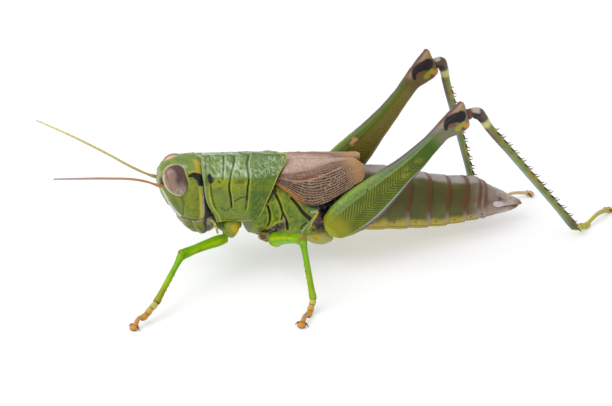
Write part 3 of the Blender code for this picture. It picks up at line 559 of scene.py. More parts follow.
MOUTH_LINE = ((-10.5, 0.7, 6.5), (-10.1, 1.0, 6.38), (-9.64, 1.6, 6.36), (-9.19, 1.85, 6.3),
              (-8.3, 2.05, 6.3))
CHEEK_FOLD = ((-9.45, 2.28, 7.91), (-9.23, 2.25, 8.49), (-8.92, 2.1, 8.5))
FEELER_SOCKET = ((-12.15, 0.8, 10.05), (-12.05, 0.85, 10.0))
CROWN_SHEEN = ((-11.2, 0.6, 11.3), (-10.44, 1.0, 11.35), (-9.87, 1.1, 11.4))
CHEEK_GREEN = shade(112, 124, 22)
CROWN_SHEEN_GREEN = shade(108, 130, 58)
RIDGE_PALE = shade(204, 212, 202)
ORBIT_TAN = shade(166, 160, 66)
OCHRE = shade(176, 152, 40)
PALE_STRIP = shade(168, 148, 132)


def eye_frame(side):
    """Centre and the long, wide and deep directions of one eye."""
    centre = EYE_CENTRE * (1, side, 1)
    if side > 0:
        centre += RIGHT_EYE_SHIFT
    long_axis = unit(EYE_AXIS * (1, side, 1))
    wide_axis = unit(np.cross(long_axis, (0, side, 0)))
    return centre, long_axis, wide_axis, np.cross(wide_axis, long_axis)


levels = [(number, *row) for number, row in enumerate(HEAD_SHAPE)]
turn = round_turn(HEAD_COLUMNS)[None, :]
z, front, back, half = columns_of(levels, np.linspace(0, len(levels) - 1, HEAD_ROWS))
half = np.maximum(half, 0.02)
middle = back + (front - back) * 0.45
along, out = np.cos(turn), np.sin(turn)
reach_x = np.where(along < 0, middle - front, back - middle)
power = np.where(along < 0, 1.9, 4.2)
reach = (np.abs(along / reach_x) ** power + np.abs(out / half) ** power) ** (-1 / power)
head = grid_of(middle + along * reach, out * reach, z)
tucked = 1 - COLLAR_TUCK * ease(head[..., 0], -8.75, -8.1) * ease(head[..., 2], 9.6, 10.2)
head[..., 1] *= tucked
head[..., 2] = 9 + (head[..., 2] - 9) * tucked
head_x, head_y, head_z = np.moveaxis(head, -1, 0)
orbit = np.zeros(head.shape[:2])
inside = np.zeros(head.shape[:2])
for side in (-1, 1):
    centre, *axes = eye_frame(side)
    local = np.stack([(head - centre) @ axis / radius for axis, radius in zip(axes, EYE_RADII)], axis=-1)
    around = np.linalg.norm(local, axis=-1)
    orbit = np.maximum(orbit, bell(around, 1.08, 0.07))
    inside = np.maximum(inside, fade(around, 0.85, 1.0))
face_ridge = stripe(head, FACE_RIDGE, 0.13, 0.24, 0.07)
between_ridges = (np.abs(head_y) < 0.6) * ease(-head_x, 10.2, 10.6) * fade(head_z, 10.6, 11.1)
cheek_groove = stripe(head, CHEEK_GROOVE, 0.06, 0.06, 0.08)
fold = stripe(head, CHEEK_FOLD, 0.03, 0.03, 0.04)
mouth_line = stripe(head, MOUTH_LINE, 0.1, 0.14, 0.05)
socket = fade(from_line(head, FEELER_SOCKET)[0], 0.22, 0.5)
height = 0.05 * orbit - 0.25 * inside + 0.09 * face_ridge - 0.08 * cheek_groove - 0.05 * fold
height += -0.07 * mouth_line - 0.12 * socket - 0.05 * between_ridges
height += 0.06 * ripple(head, 1.0, 21) + 0.04 * ripple(head, 0.45, 22) + 0.01 * ripple(head, 0.15, 23)
head_shell = raised(head, height)

grain = ripple(head, 0.17, 27)
low_part = fade(head_z, 9.6, 9.9)
rear_margin = ease(head_x, -9.2, -8.8) * ease(head_z, 10.3, 10.6)
over_stripe = [(x, y, z + 0.42) for x, y, z in BEHIND_EYE]
band = from_line(head, BEHIND_EYE)
band_width = 0.12 + 0.36 * band[1] + 0.07 * ripple(head, 0.35, 28)
sheen = stripe(head, CROWN_SHEEN, 0.12, 0.2, 0.16)
paint = painted(
    head, CHEEK_GREEN,
    # Top of the head in a bluer green: its own green with painted sheen.
    (CROWN_SHEEN_GREEN, ease(head_z, 10.3, 11.2)),
    (YELLOW_GREEN, 0.4 * blotches(head, 0.8, 25, 0.1, 0.6)),
    (DEEP_GREEN, 0.3 * ease(grain, 0.1, 0.6)),
    (YELLOW_GREEN, 0.35 * ease(-grain, 0.1, 0.6)),
    (YELLOW_GREEN, 0.6 * stripe(head, EYE_STREAK, 0.12, 0.1, 0.1)),
    (RIDGE_PALE, 0.25 * between_ridges),
    (DEEP_GREEN, 0.5 * stripe(head, FACE_SHADE, 0.2, 0.24, 0.14)),
    (RIDGE_PALE, 0.78 * face_ridge),
    (OLIVE_BROWN, 0.6 * face_ridge * blotches(head, 0.3, 26, 0.3, 0.6)),
    (DEEP_GREEN, 0.8 * cheek_groove + 0.5 * fold),
    (ORBIT_TAN, 0.6 * orbit * ease(head_z + 0.5 * head_x, 4.4, 5.3)),
    (BLUE_BLACK, 0.9 * mouth_line),
    (OCHRE, 0.85 * rear_margin * ease(np.abs(head_y), 0.3, 0.7)),
    (RIM_YELLOW, 0.85 * ease(head_x, -8.95, -8.78) * low_part),
    (PALE_STRIP, 0.9 * ease(head_x, -8.64, -8.58) * low_part),
    (BLUE_BLACK, 0.95 * ease(head_x, -8.46, -8.4) * low_part),
    (OCHRE, 0.8 * stripe(head, over_stripe, 0.08, 0.16, 0.12)),
    (BLUE_BLACK, fade(band[0], band_width - 0.05, band_width + 0.05)),
    (PALE_AND_SHEEN_GREEN, 0.45 * sheen),
    (BLUE_BLACK, 0.8 * socket),
)
make_piece("head_capsule", [sheet(head_shell, paint)], green_shell, ["head"])

# Eyes: two smooth, glossy domes of tightly packed facets, set upright in the capsule.
# Brown and cloudy outside, with a pale lower rim and a dark heart that shows through.

EYE_ROWS = 110
EYE_COLUMNS = 150
EGG_TAPER = 0.09
EYE_PALE = shade(143, 115, 98)
EYE_LOW = shade(162, 152, 138)
EYE_BROWN = shade(78, 50, 48)
EYE_DARK = shade(34, 18, 28)
EYE_RIM = shade(206, 188, 156)
EYE_PEACH = shade(226, 178, 146)


def eye_sheet(side):
    """Egg-shaped dome, with the paint of its clouds, heart and rim."""
    centre, long_axis, wide_axis, deep_axis = eye_frame(side)
    rise = np.linspace(0.001, math.pi - 0.001, EYE_ROWS)[:, None]
    turn = round_turn(EYE_COLUMNS)[None, :]
    lengthways = np.cos(rise) + 0 * turn
    widthways = np.sin(rise) * np.cos(turn)
    depthways = np.sin(rise) * np.sin(turn)
    egg = 1 + EGG_TAPER * lengthways
    grid = (centre + lengthways[..., None] * long_axis * EYE_RADII[0]
            + (widthways * egg)[..., None] * wide_axis * EYE_RADII[1]
            + depthways[..., None] * deep_axis * EYE_RADII[2])
    forward = widthways if (wide_axis[0] < 0) else -widthways
    local = grid_of(lengthways, forward, depthways)
    cloud = ripple(local * (1, 1.6, 1), 0.45, 31) * 0.3
    streaks = ripple(local * (0.3, 2.4, 2.4), 0.22, 33)
    heart = np.exp(-(((lengthways - 0.05) / 0.34) ** 2 + ((forward + 0.15) / 0.3) ** 2))
    across = (grid - centre)[..., 1] * side
    inner_rim = fade(across, -0.55, -0.2)
    rim = ease(np.hypot(lengthways, forward), 0.86, 0.97) * ease(forward * 0.8 - lengthways * 0.6, 0.0, 0.5)
    # Painted shade along the rear rim of the dome, away from the light.
    rear_rim_shade = ease(np.hypot(lengthways, forward), 0.84, 0.97) * ease(-forward, 0.1, 0.5)
    paint = painted(
        grid, EYE_PALE,
        (EYE_BROWN, 0.9 * ease(-forward * 0.9 + 0.35 * lengthways + cloud, -0.1, 0.5)),
        (EYE_LOW, 0.85 * ease(-lengthways + 0.3 * cloud, 0.3, 0.75)),
        (EYE_BROWN, 0.5 * ease(streaks, 0.0, 0.6)),
        (EYE_DARK, 0.8 * heart),
        (EYE_PEACH, 0.85 * inner_rim),
        (EYE_RIM, 0.85 * rim),
        (EYE_DARK, 0.85 * rear_rim_shade * (1 - inner_rim)),
    )
    return sheet(grid, paint)


eye_gloss = cuticle_finish("eye_gloss", 0.3, cloud=(0.5, 0.15), grain=(0.05, 0.2),
                           pits=(0.05, 0.08), coat=0.35, bump=0.01)
for side, name in SIDES:
    make_piece(f"eye_dome_{name}", [eye_sheet(side)], eye_gloss, [f"eye_{name}"])

# Antennae: threads of some two dozen short joints of hard cuticle, held forward, each on a
# stout root joint set in a socket of the face. The left one is orange at the root and
# fades to pink, the right one is straw green.

ANTENNA_JOINTS = 24
ROWS_PER_JOINT = 12
THREAD_COLUMNS = 20
ANTENNA_ROUTES = {
    "left": ((-11.7, -0.9, 9.5), (-12.5, -0.9, 9.85), (-13.3, -1.05, 10.35), (-14.1, -1.2, 10.75),
             (-17.3, -2.2, 12.0), (-20.2, -3.2, 13.0), (-22.6, -4.2, 13.9)),
    "right": ((-11.7, 0.75, 9.55), (-12.55, 0.85, 9.9), (-14.1, 1.1, 10.8), (-16.1, 1.5, 12.2),
              (-19.3, 2.6, 14.1), (-22.1, 4.2, 15.3)),
}
ANTENNA_RADII = ((0, 0.15), (0.05, 0.18), (0.08, 0.13), (0.2, 0.12), (0.6, 0.11), (1, 0.08))
ANTENNA_PAINTS = {
    "left": (shade(182, 132, 78), shade(190, 148, 122), shade(196, 166, 176)),
    "right": (shade(178, 158, 92), shade(200, 190, 118), shade(216, 206, 152)),
}


def limb_grid(knots, rows, columns, half_up, half_side, up=(0, 0, 1), power=2.0):
    """Round or squarish tube along a route; the half sizes are given for each row."""
    route = smooth_path(knots, rows)
    ahead = np.gradient(route, axis=0)
    ahead /= np.linalg.norm(ahead, axis=1, keepdims=True)
    side = np.cross(ahead, up)
    side /= np.linalg.norm(side, axis=1, keepdims=True)
    lift = np.cross(side, ahead)
    turn = round_turn(columns)
    rise, out = np.cos(turn), np.sin(turn)
    round_off = (np.abs(rise) ** power + np.abs(out) ** power) ** (-1 / power)
    half_up = np.broadcast_to(half_up, rows)[:, None, None]
    half_side = np.broadcast_to(half_side, rows)[:, None, None]
    return (route[:, None, :] + lift[:, None, :] * (rise * round_off)[None, :, None] * half_up
            + side[:, None, :] * (out * round_off)[None, :, None] * half_side)


feeler_finish = cuticle_finish("feeler", 0.5, cloud=(0.5, 0.25), grain=(0.05, 0.5), bump=0.02)
for name, knots in ANTENNA_ROUTES.items():
    rows = ANTENNA_JOINTS * ROWS_PER_JOINT
    share = np.linspace(0, 1, rows)
    along = share[:, None]
    wave = np.abs(np.sin(share * ANTENNA_JOINTS * math.pi)) ** 0.4
    radius = curve(ANTENNA_RADII, share) * (0.84 + 0.16 * wave)
    radius[0] = radius[-1] = 0.03
    grid = limb_grid(knots, rows, THREAD_COLUMNS, radius, radius)
    root, mid, tip = ANTENNA_PAINTS[name]
    paint = painted(
        grid, mid,
        (root, fade(along, 0.05, 0.4)),
        (tip, ease(along, 0.5, 1.0)),
        (root * 0.5, 0.5 * (1 - wave)[:, None]),
    )
    make_piece(f"antenna_thread_{name}", [sheet(grid, paint)], feeler_finish, [f"antenna_{name}"])

# Mouthparts: the upper lip hangs in front, a broad jaw lies under each cheek and the lower
# lip closes the mouth behind, with a jointed palp on each side of it. All are of hard olive
# cuticle with dark edges, hinged in the soft rim of the capsule.

MOUTH_ROWS = 46
MOUTH_COLUMNS = 90
OLIVE = shade(120, 128, 38)
OLIVE_GREY = shade(150, 152, 118)
JAW_OLIVE = shade(146, 134, 20)
MOUTH_DARK = shade(40, 38, 34)
PALP_GREEN = shade(206, 196, 110)


def stacked(levels, outline):
    """Smooth body through level outlines; outline gives the ring of one level."""
    level = smooth_line([(number, *row) for number, row in enumerate(levels)],
                        np.linspace(0, len(levels) - 1, MOUTH_ROWS))
    rings = []
    for row in level:
        ring = np.array(outline(*row))
        closed = np.vstack([ring, ring[:1]])
        steps = np.linalg.norm(np.diff(closed, axis=0), axis=1)
        at = np.concatenate([[0], np.cumsum(steps)]) / steps.sum()
        padded = np.column_stack([np.concatenate([at[:-1] - 1, at[:-1], at[:-1] + 1, [2]]),
                                  np.vstack([ring, ring, ring, ring[:1]])])
        rings.append(smooth_line(padded, np.linspace(0, 1, MOUTH_COLUMNS, endpoint=False)))
    return np.array(rings)


def lip_ring(z, front, back, half):
    return [(front, -half * 0.45, z), (front, half * 0.45, z), (front + 0.25, half * 0.9, z),
            (back, half, z), (back + 0.1, half * 0.5, z), (back + 0.1, -half * 0.5, z),
            (back, -half, z), (front + 0.25, -half * 0.9, z)]


def jaw_ring(side):
    def ring(z, front, back, inner, outer):
        return [(front, inner * side, z), (front, outer * 0.8 * side, z),
                (front * 0.6 + back * 0.4, outer * side, z), (back, outer * 0.9 * side, z),
                (back, inner * side, z)]
    return ring


def lower_lip_ring(z, front, back, half):
    return [(front, -half, z), (front, half, z), (back, half * 0.7, z), (back, -half * 0.7, z)]


LIP_LEVELS = ((6.1, -10.35, -9.3, 1.3), (5.65, -10.3, -9.1, 1.4), (5.1, -9.9, -8.9, 1.42),
              (4.6, -9.45, -8.6, 1.3), (4.15, -8.85, -8.3, 0.8))
JAW_LEVELS = ((6.2, -9.6, -8.05, 0.2, 1.9), (5.6, -9.4, -8.1, 0.2, 1.95), (5.0, -9.1, -8.1, 0.2, 1.9),
              (4.5, -8.8, -8.05, 0.2, 1.6), (4.1, -8.5, -8.05, 0.2, 1.0))
LOWER_LIP_LEVELS = ((6.1, -8.1, -7.1, 1.75), (5.5, -8.0, -7.0, 1.8), (4.9, -7.95, -7.1, 1.65),
                    (4.45, -7.8, -7.2, 1.3), (4.15, -7.7, -7.3, 0.7))
LIP_CREASE = ((-10.2, 0.0, 5.35), (-10.05, 0.8, 5.3), (-9.6, 1.4, 5.25))
JAW_CREASE = ((-8.9, 1.75, 5.6), (-8.6, 1.75, 5.0), (-8.4, 1.5, 4.3))
JAW_SPOT = ((-8.74, 1.8, 5.62), (-8.45, 1.85, 5.45))

mouth_finish = cuticle_finish("olive_mouth", 0.4, cloud=(0.6, 0.4), grain=(0.06, 0.5),
                              pits=(0.14, 0.1), coat=0.3, bump=0.04)
lip = stacked(LIP_LEVELS, lip_ring)
lip_line = stripe(lip, LIP_CREASE, 0.05)
paint = painted(
    lip, OLIVE,
    (OLIVE_GREY, ease(-lip[..., 2], -4.6, -3.8)),
    (MOUTH_DARK, 0.9 * lip_line),
    (MOUTH_DARK, 0.5 * blotches(lip * (1.5, 1, 0.5), 0.3, 42, 0.2, 0.6)),
    (PALE_STRIP, 0.6 * bell(lip[..., 0] + lip[..., 2] * 0.32, -8.35, 0.12)),
    (PALE_STRIP, 0.6 * ease(lip[..., 2], 5.75, 5.95)),
)
lip = raised(lip, 0.03 * ripple(lip, 0.4, 41) - 0.06 * lip_line)
make_piece("upper_lip", [sheet(lip, paint)], mouth_finish, ["labrum"])
for side, name in SIDES:
    jaw = stacked(JAW_LEVELS, jaw_ring(side))
    crease = stripe(jaw, JAW_CREASE, 0.05)
    jaw_spot = stripe(jaw, JAW_SPOT, 0.2, 0.2, 0.1)
    rear_edge = ease(jaw[..., 0] + 0.12 * ripple(jaw, 0.4, 46), -8.42, -8.25)
    paint = painted(
        jaw, OLIVE,
        (JAW_OLIVE, 0.9 * jaw_spot),
        (PALE_STRIP, 0.7 * ease(jaw[..., 2], 5.85, 6.0) * (1 - rear_edge)),
        (MOUTH_DARK, 0.95 * rear_edge),
        (MOUTH_DARK, 0.7 * blotches(jaw * (1.5, 1, 0.5), 0.3, 49, 0.15, 0.5)),
        (MOUTH_DARK, 0.6 * crease),
        (MOUTH_DARK, 0.7 * ease(-jaw[..., 2], -4.3, -3.8)),
    )
    jaw = raised(jaw, 0.035 * ripple(jaw, 0.4, 43) - 0.05 * crease)
    make_piece(f"jaw_{name}", [sheet(jaw, paint)], mouth_finish, [f"mandible_{name}"])
lower_lip = stacked(LOWER_LIP_LEVELS, lower_lip_ring)
paint = painted(
    lower_lip, OLIVE_GREY,
    (MOUTH_DARK, 0.7 * blotches(lower_lip * (1, 1, 0.3), 0.22, 45, 0.1, 0.5)),
    (MOUTH_DARK, 0.6 * ease(lower_lip[..., 0], -7.45, -7.2)),
)
lower_lip = raised(lower_lip, 0.04 * ripple(lower_lip, 0.45, 47))
make_piece("lower_lip", [sheet(lower_lip, paint)], mouth_finish, ["labium"])

PALP_ROUTE = ((-7.7, 1.6, 5.9), (-7.4, 1.85, 5.5), (-7.25, 1.95, 5.0), (-7.15, 2.0, 4.5))
PALP_JOINTS = 4
PALP_ROWS = 60
for side, name in SIDES:
    share = np.linspace(0, 1, PALP_ROWS)
    wave = np.abs(np.sin(share * PALP_JOINTS * math.pi)) ** 0.4
    radius = (0.13 - 0.03 * share) * (0.78 + 0.24 * wave)
    radius[0], radius[-1] = 0.02, 0.03
    route = [(x, y * side, z) for x, y, z in PALP_ROUTE]
    grid = limb_grid(route, PALP_ROWS, THREAD_COLUMNS, radius, radius)
    paint = painted(grid, PALP_GREEN, (MOUTH_DARK, (0.5 * (1 - wave))[:, None]))
    make_piece(f"palp_joints_{name}", [sheet(grid, paint)], feeler_finish, [f"palp_{name}"])

# Thorax: the walls below the wings and the broad breast plate between the legs, of hard
# plates fused along deep dark sutures into the box that carries legs and wings. Soft
# wrinkled membrane fills the leg sockets.

THORAX_ROWS = 230
THORAX_COLUMNS = 300
THORAX_FRONT_LOW = -3.33
THORAX_SLANT = 0.78
THORAX_END = 4.0
THORAX_SHAPE = ((-4.2, 2.25, 3.3, 2.6, 6.8), (-1.6, 2.4, 4.2, 2.86, 6.6), (0.3, 2.6, 4.25, 2.85, 6.4),
                (1.5, 3.2, 3.85, 2.85, 5.8), (2.8, 3.3, 3.5, 2.8, 5.4), (4.0, 3.2, 3.2, 2.65, 5.2))
SUTURES = (
    (((-2.61, 2.6, 6.9), (-2.5, 2.71, 6.46), (-2.44, 2.75, 5.36), (-2.66, 2.6, 4.69)), 0.09, 0.06),
    (((-2.0, 2.6, 8.6), (-1.8, 2.7, 7.9), (-1.55, 2.8, 7.22), (-1.26, 2.88, 6.03)), 0.1, 0.06),
    (((-1.26, 2.88, 6.03), (-0.94, 2.82, 5.35), (-0.71, 2.55, 4.15)), 0.07, 0.1),
    (((-1.26, 2.88, 6.03), (-1.39, 2.84, 5.44)), 0.06, 0.05),
    (((-0.46, 2.77, 7.53), (0.15, 2.84, 6.67), (0.78, 2.84, 5.66), (1.43, 2.8, 4.93)), 0.08, 0.2),
)
YELLOW_KNOB = ((2.0, 2.84, 5.75), (1.85, 2.84, 5.37), (1.62, 2.82, 4.96), (1.46, 2.75, 4.43), (1.1, 2.6, 3.9))
PALE_KNOB = ((1.44, 2.85, 5.8), (1.85, 2.85, 5.85))
FLANK_HOOK = ((0.5, 2.7, 3.95), (0.7, 2.75, 4.46), (1.0, 2.8, 4.62))
PALE_WEDGE = ((-1.2, 2.86, 5.62), (-1.08, 2.8, 5.2))
SOCKET_EDGE = ((-2.6, 2.42, 4.3), (-2.23, 2.64, 4.66), (-2.0, 2.77, 5.1), (-1.39, 2.83, 5.3))
MEMBRANE_SPOTS = (((-3.1, 1.9, 3.75), (-2.5, 2.3, 4.0), (-1.9, 2.6, 4.5), (-0.9, 2.72, 4.75)),
                  ((1.9, 2.76, 4.6), (2.4, 2.72, 4.3), (1.9, 2.55, 3.7)))
WING_SHADOW = ((0.7, 2.83, 6.9), (1.5, 2.85, 6.5), (2.5, 2.8, 6.4), (3.4, 2.75, 6.6))
HIP_LINES = ((0.65, 2.3, 3.5), (0.9, 2.68, 4.2), (1.15, 2.78, 4.5), (1.45, 2.8, 4.75))
PLATE_GREEN = shade(108, 134, 18)
KNOB_YELLOW = shade(206, 196, 60)
MEMBRANE_BROWN = shade(82, 60, 46)
MEMBRANE_GREY = shade(158, 146, 142)

turn = round_turn(THORAX_COLUMNS)[None, :]
share = np.linspace(0, 1, THORAX_ROWS)[:, None]
station = between((THORAX_SHAPE[0][0], THORAX_END), share)
rise, sink, half, middle = columns_of(THORAX_SHAPE, station[:, 0])
out, up = oval(turn, rise, sink, half, 2.7, 2.4)
slanted = THORAX_FRONT_LOW - 0.5 + (np.maximum(middle + up, 5.4) - 5.6) * THORAX_SLANT
thorax = grid_of(between((slanted, THORAX_END), share), out, middle + up)
thorax_x, _, thorax_z = np.moveaxis(thorax, -1, 0)
seams = np.zeros(thorax.shape[:2])
plate_gap = np.full(thorax.shape[:2], FAR_AWAY)
for knots, start_width, end_width in SUTURES:
    seams = np.maximum(seams, stripe(thorax, knots, start_width, end_width, 0.05))
    plate_gap = np.minimum(plate_gap, from_line(thorax, knots)[0])
membrane = np.zeros(thorax.shape[:2])
for knots in MEMBRANE_SPOTS:
    membrane = np.maximum(membrane, stripe(thorax, knots, 0.42, 0.32, 0.12))
shadow = stripe(thorax, WING_SHADOW, 0.14, 0.4, 0.12)
knob = stripe(thorax, YELLOW_KNOB, 0.15, 0.06, 0.05)
pale_knob = stripe(thorax, PALE_KNOB, 0.16, 0.14, 0.06)
hook = stripe(thorax, FLANK_HOOK, 0.06, 0.09, 0.04)
socket_edge = stripe(thorax, SOCKET_EDGE, 0.09, 0.09, 0.05)
hip_lines = stripe(thorax, HIP_LINES, 0.07, 0.07, 0.05)
height = -0.16 * seams + 0.09 * (1 - np.exp(-plate_gap / 0.35)) - 0.12 * membrane
height += 0.12 * np.maximum(knob, pale_knob) - 0.1 * hook + 0.08 * socket_edge
height += 0.06 * hip_lines - 0.15 * shadow
height += membrane * 0.07 * ripple(thorax, 0.22, 51)
height += 0.03 * ripple(thorax, 0.7, 53) + 0.012 * ripple(thorax, 0.22, 55)
thorax_shell = raised(thorax, height)
grain = ripple(thorax * (1, 1, 0.7), 0.17, 58)
side_skin = ease(thorax_x, 1.75, 2.1) * ease(thorax_z, 3.3, 3.7)
wedge = stripe(thorax, PALE_WEDGE, 0.07, 0.14, 0.05)
paint = painted(
    thorax, PLATE_GREEN,
    (YELLOW_GREEN, 0.6 * blotches(thorax, 0.6, 57, 0.0, 0.6)),
    (DEEP_GREEN, 0.6 * blotches(thorax, 0.35, 59, 0.1, 0.6)),
    (DEEP_GREEN, 0.35 * ease(grain, 0.1, 0.6)),
    (YELLOW_GREEN, 0.6 * ease(-grain, 0.1, 0.6)),
    (MEMBRANE_GREY, 0.6 * fade(thorax_z, 2.4, 3.2)),
    (MEMBRANE_BROWN, membrane),
    (MEMBRANE_GREY, membrane * blotches(thorax, 0.25, 61, 0.1, 0.5)),
    (BLUE_BLACK, membrane * blotches(thorax, 0.3, 63, 0.1, 0.5)),
    (MEMBRANE_BROWN, side_skin),
    (BLUE_BLACK, side_skin * blotches(thorax, 0.5, 64, 0.0, 0.3)),
    (MEMBRANE_GREY, 0.6 * side_skin * blotches(thorax, 0.3, 66, 0.2, 0.6)),
    (RIM_YELLOW, 0.5 * bell(plate_gap, 0.2, 0.07)),
    (BLUE_BLACK, np.maximum(seams, hook)),
    (MEMBRANE_GREY, 0.9 * wedge),
    (BLUE_BLACK, 0.95 * shadow),
    (RIM_YELLOW, 0.9 * socket_edge),
    (PALE_AND_SHEEN_GREEN, 0.8 * pale_knob),
    (KNOB_YELLOW, 0.9 * knob),
    (PALE_AND_SHEEN_GREEN, 0.7 * hip_lines),
)

# A fold of skin in front closes the gap between the thorax and the shield's edge.
front_ring = thorax[0]
ring_middle = np.array([front_ring[:, 0].mean(), 0, 7.6])
forward = np.linspace(0.3, -1.5, 24)[:, None, None]
front_fold = ring_middle + (front_ring - ring_middle) * (1, 0.96, 0.97) * (1 + 0.06 * forward)
front_fold = front_fold + forward * (1, 0, 0)
front_fold[..., 2] = np.maximum(front_fold[..., 2], 6.4)
fold_paint = painted(
    front_fold, MEMBRANE_BROWN,
    (BLUE_BLACK, 0.8 * blotches(front_fold, 0.5, 68, -0.3, 0.3)),
)
front_fold = raised(front_fold, 0.03 * ripple(front_fold, 0.3, 70))
make_piece("thorax_plates", [sheet(thorax_shell, paint),
                             sheet(front_fold, fold_paint)],
           green_shell, ["thorax"])

BREAST_ROWS = 60
BREAST_COLUMNS = 90
BREAST_SQUARE = 2.6
BREAST_SHAPE = ((-6.95, 4.75, 0.5, 0.8), (-6.5, 4.6, 0.75, 1.15), (-5.2, 4.4, 0.85, 1.2),
                (-4.6, 4.5, 0.6, 1.0))

turn = round_turn(BREAST_COLUMNS)[None, :]
station = np.linspace(BREAST_SHAPE[0][0], BREAST_SHAPE[-1][0], BREAST_ROWS)
middle, deep, half = columns_of(BREAST_SHAPE, station)
out, up = oval(turn, deep, deep, half, BREAST_SQUARE, BREAST_SQUARE)
breast = grid_of(station[:, None], out, middle + up)
paint = painted(
    breast, PLATE_GREEN,
    (RIM_YELLOW, 0.5 * blotches(breast, 0.5, 65, 0, 0.6)),
    (MEMBRANE_BROWN, 0.6 * blotches(breast, 0.35, 67, 0.2, 0.6)),
)
breast = raised(breast, 0.04 * ripple(breast, 0.4, 69))
make_piece("front_breast", [sheet(breast, paint)], green_shell, ["prosternum"])

# Neck: the soft collar of wrinkled skin between the head and the shield, dark and pale by
# turns, mostly hidden. It is joined to the rims of both.

NECK_ROWS = 50
NECK_COLUMNS = 90
NECK_ENDS = (-9.0, -7.0)
NECK_SQUARE = (2.6, 2.8)
NECK_MIDDLE = 8.45
NECK_RISE = 2.2
NECK_SINK = 2.6
NECK_HALF = 1.75
NECK_WRINKLES = 14

turn = round_turn(NECK_COLUMNS)[None, :]
station = np.linspace(*NECK_ENDS, NECK_ROWS)[:, None]
out, up = oval(turn, NECK_RISE, NECK_SINK, NECK_HALF, *NECK_SQUARE)
neck = grid_of(station, out, NECK_MIDDLE + up)
wrinkle = np.sin(neck[..., 0] * NECK_WRINKLES)
paint = painted(
    neck, MEMBRANE_BROWN,
    (PALE_STRIP, ease(wrinkle, 0, 0.6)),
    (BLUE_BLACK, 0.7 * blotches(neck, 0.5, 71, 0, 0.5)),
)
neck = raised(neck, 0.05 * wrinkle + 0.04 * ripple(neck, 0.4, 73))
make_piece("neck_skin", [sheet(neck, paint)], green_shell)

# Wings: two short stiff fore wings folded over the back, parchment brown, each a curved
# leaf with a smooth pale field on top and a dark netted field on the flank. The veins
# fan out from the hinge under the shield's edge, with short cross veins between them.

WING_LIFT = 0.5
WING_DROP = 2.0
WING_LEAF = 0.16
WING_UNDERLAP = 0.25
WING_ROWS = 220
WING_COLUMNS = 220
RING_STEPS = 400
MID_WING = 3.0
WING_INNER = ((0, -1.0, 0.25), (0.2, 1.0, 0.03), (0.5, 3.4, 0.02), (0.8, 5.5, 0.05),
              (0.92, 6.45, 0.45), (1, 6.82, 1.3))
WING_OUTER = ((0, -2.35, 2.75), (0.06, -1.8, 3.14), (0.13, -1.32, 3.69), (0.21, -0.7, 4.33),
              (0.29, -0.2, 4.94), (0.4, 0.73, 5.34), (0.5, 1.62, 5.42), (0.6, 2.55, 5.18),
              (0.7, 3.45, 4.72), (0.82, 4.68, 4.02), (0.9, 5.68, 3.43), (0.94, 6.18, 3.18),
              (0.98, 6.62, 2.5), (1, 6.83, 1.6))
WING_FIELD_EDGE = ((-2.4, 1.95), (-1.43, 1.95), (-0.12, 2.1), (1.2, 1.8), (3.15, 1.1), (5.3, 0.3),
                   (6.9, 0.1))
WING_LOW_EDGE = ((-2.35, 2.8), (-1.32, 3.69), (-0.2, 4.94), (0.73, 5.34), (1.62, 5.42), (2.55, 5.18),
                 (4.68, 4.02), (6.9, 2.4))
WING_SHIELD_EDGE = ((0, -0.07), (0.96, -0.65), (1.78, -1.17), (2.59, -1.75), (3.33, -2.12), (5, -2.6))
VEIN_COUNT = 15
CROSS_VEIN_STEP = 0.31
WING_PALE = shade(184, 154, 138)
WING_BROWN = shade(66, 42, 28)
WING_VEIN = shade(176, 146, 120)
WING_MIDDLE = shade(126, 98, 80)
WING_RUST = shade(132, 66, 40)
WING_TIP = shade(190, 144, 98)
VEINLET_PALE = shade(214, 190, 176)
ROOT_ORANGE = shade(184, 118, 30)
RIM_PALE = shade(196, 172, 156)
RIM_BROWN = shade(120, 84, 60)
INNER_TAN = shade(150, 106, 70)
FAR_TIP_BROWN = shade(112, 72, 24)
FAR_TIP_REACH = 0.5
FAR_TIP_DROP = 0.16


def wing_ring(angle, place):
    """Cross section of the folded wings at a place along the body, with its normals."""
    wide = 2.38 + 0.8 * ease(place, -2.2, 0.8) - 0.12 * np.clip((place + 0.3) / 7.2, 0, 1)
    out, up = oval(angle, WING_DROP, 3.6, wide, 2.7, 2.7)
    top = 9.5 - 0.132 * np.clip(place + 0.3, 0, 7.2)
    return grid_of(place, out, top - WING_DROP + up), grid_of(0, np.sin(angle), np.cos(angle))


wing_angles = np.linspace(0, 2.4, RING_STEPS)
ring_points, ring_normals = wing_ring(wing_angles, MID_WING)
ring_points = ring_points + ring_normals * WING_LIFT
ring_arc = np.concatenate([[0], np.cumsum(np.linalg.norm(np.diff(ring_points, axis=0), axis=1))])
along = np.linspace(0, 1, WING_ROWS)
across = np.linspace(0, 1, WING_COLUMNS)[None, :, None]
edges = [smooth_line(knots, along)[:, None, :] for knots in (WING_INNER, WING_OUTER)]
flat = between(edges, across)
place, arc = flat[..., 0], np.maximum(flat[..., 1], 0.01)
angle = np.interp(arc, ring_arc, wing_angles)
base_points, normals = wing_ring(angle, place)
field_edge = curve(WING_FIELD_EDGE, place)
low_edge = curve(WING_LOW_EDGE, place)
level = (arc - field_edge) / np.maximum(low_edge - field_edge, 0.3)
flank = ease(level, -0.06, 0.04)
fanned = np.clip(level, 0, 1.2) ** np.clip(1 + 0.13 * (place - 2), 0.6, 1.6)
flat_place = grid_of(place, arc, 0)
stretched = flat_place * (0.45, 1, 1)
vein_place = fanned * VEIN_COUNT + 0.35 * ripple(stretched, 0.5, 81) + 0.16 * ripple(stretched, 0.2, 82)
vein_number = np.floor(vein_place)
vein_gap = np.abs(vein_place - np.round(vein_place))
vein_cells = grid_of(vein_number, 0, 0)
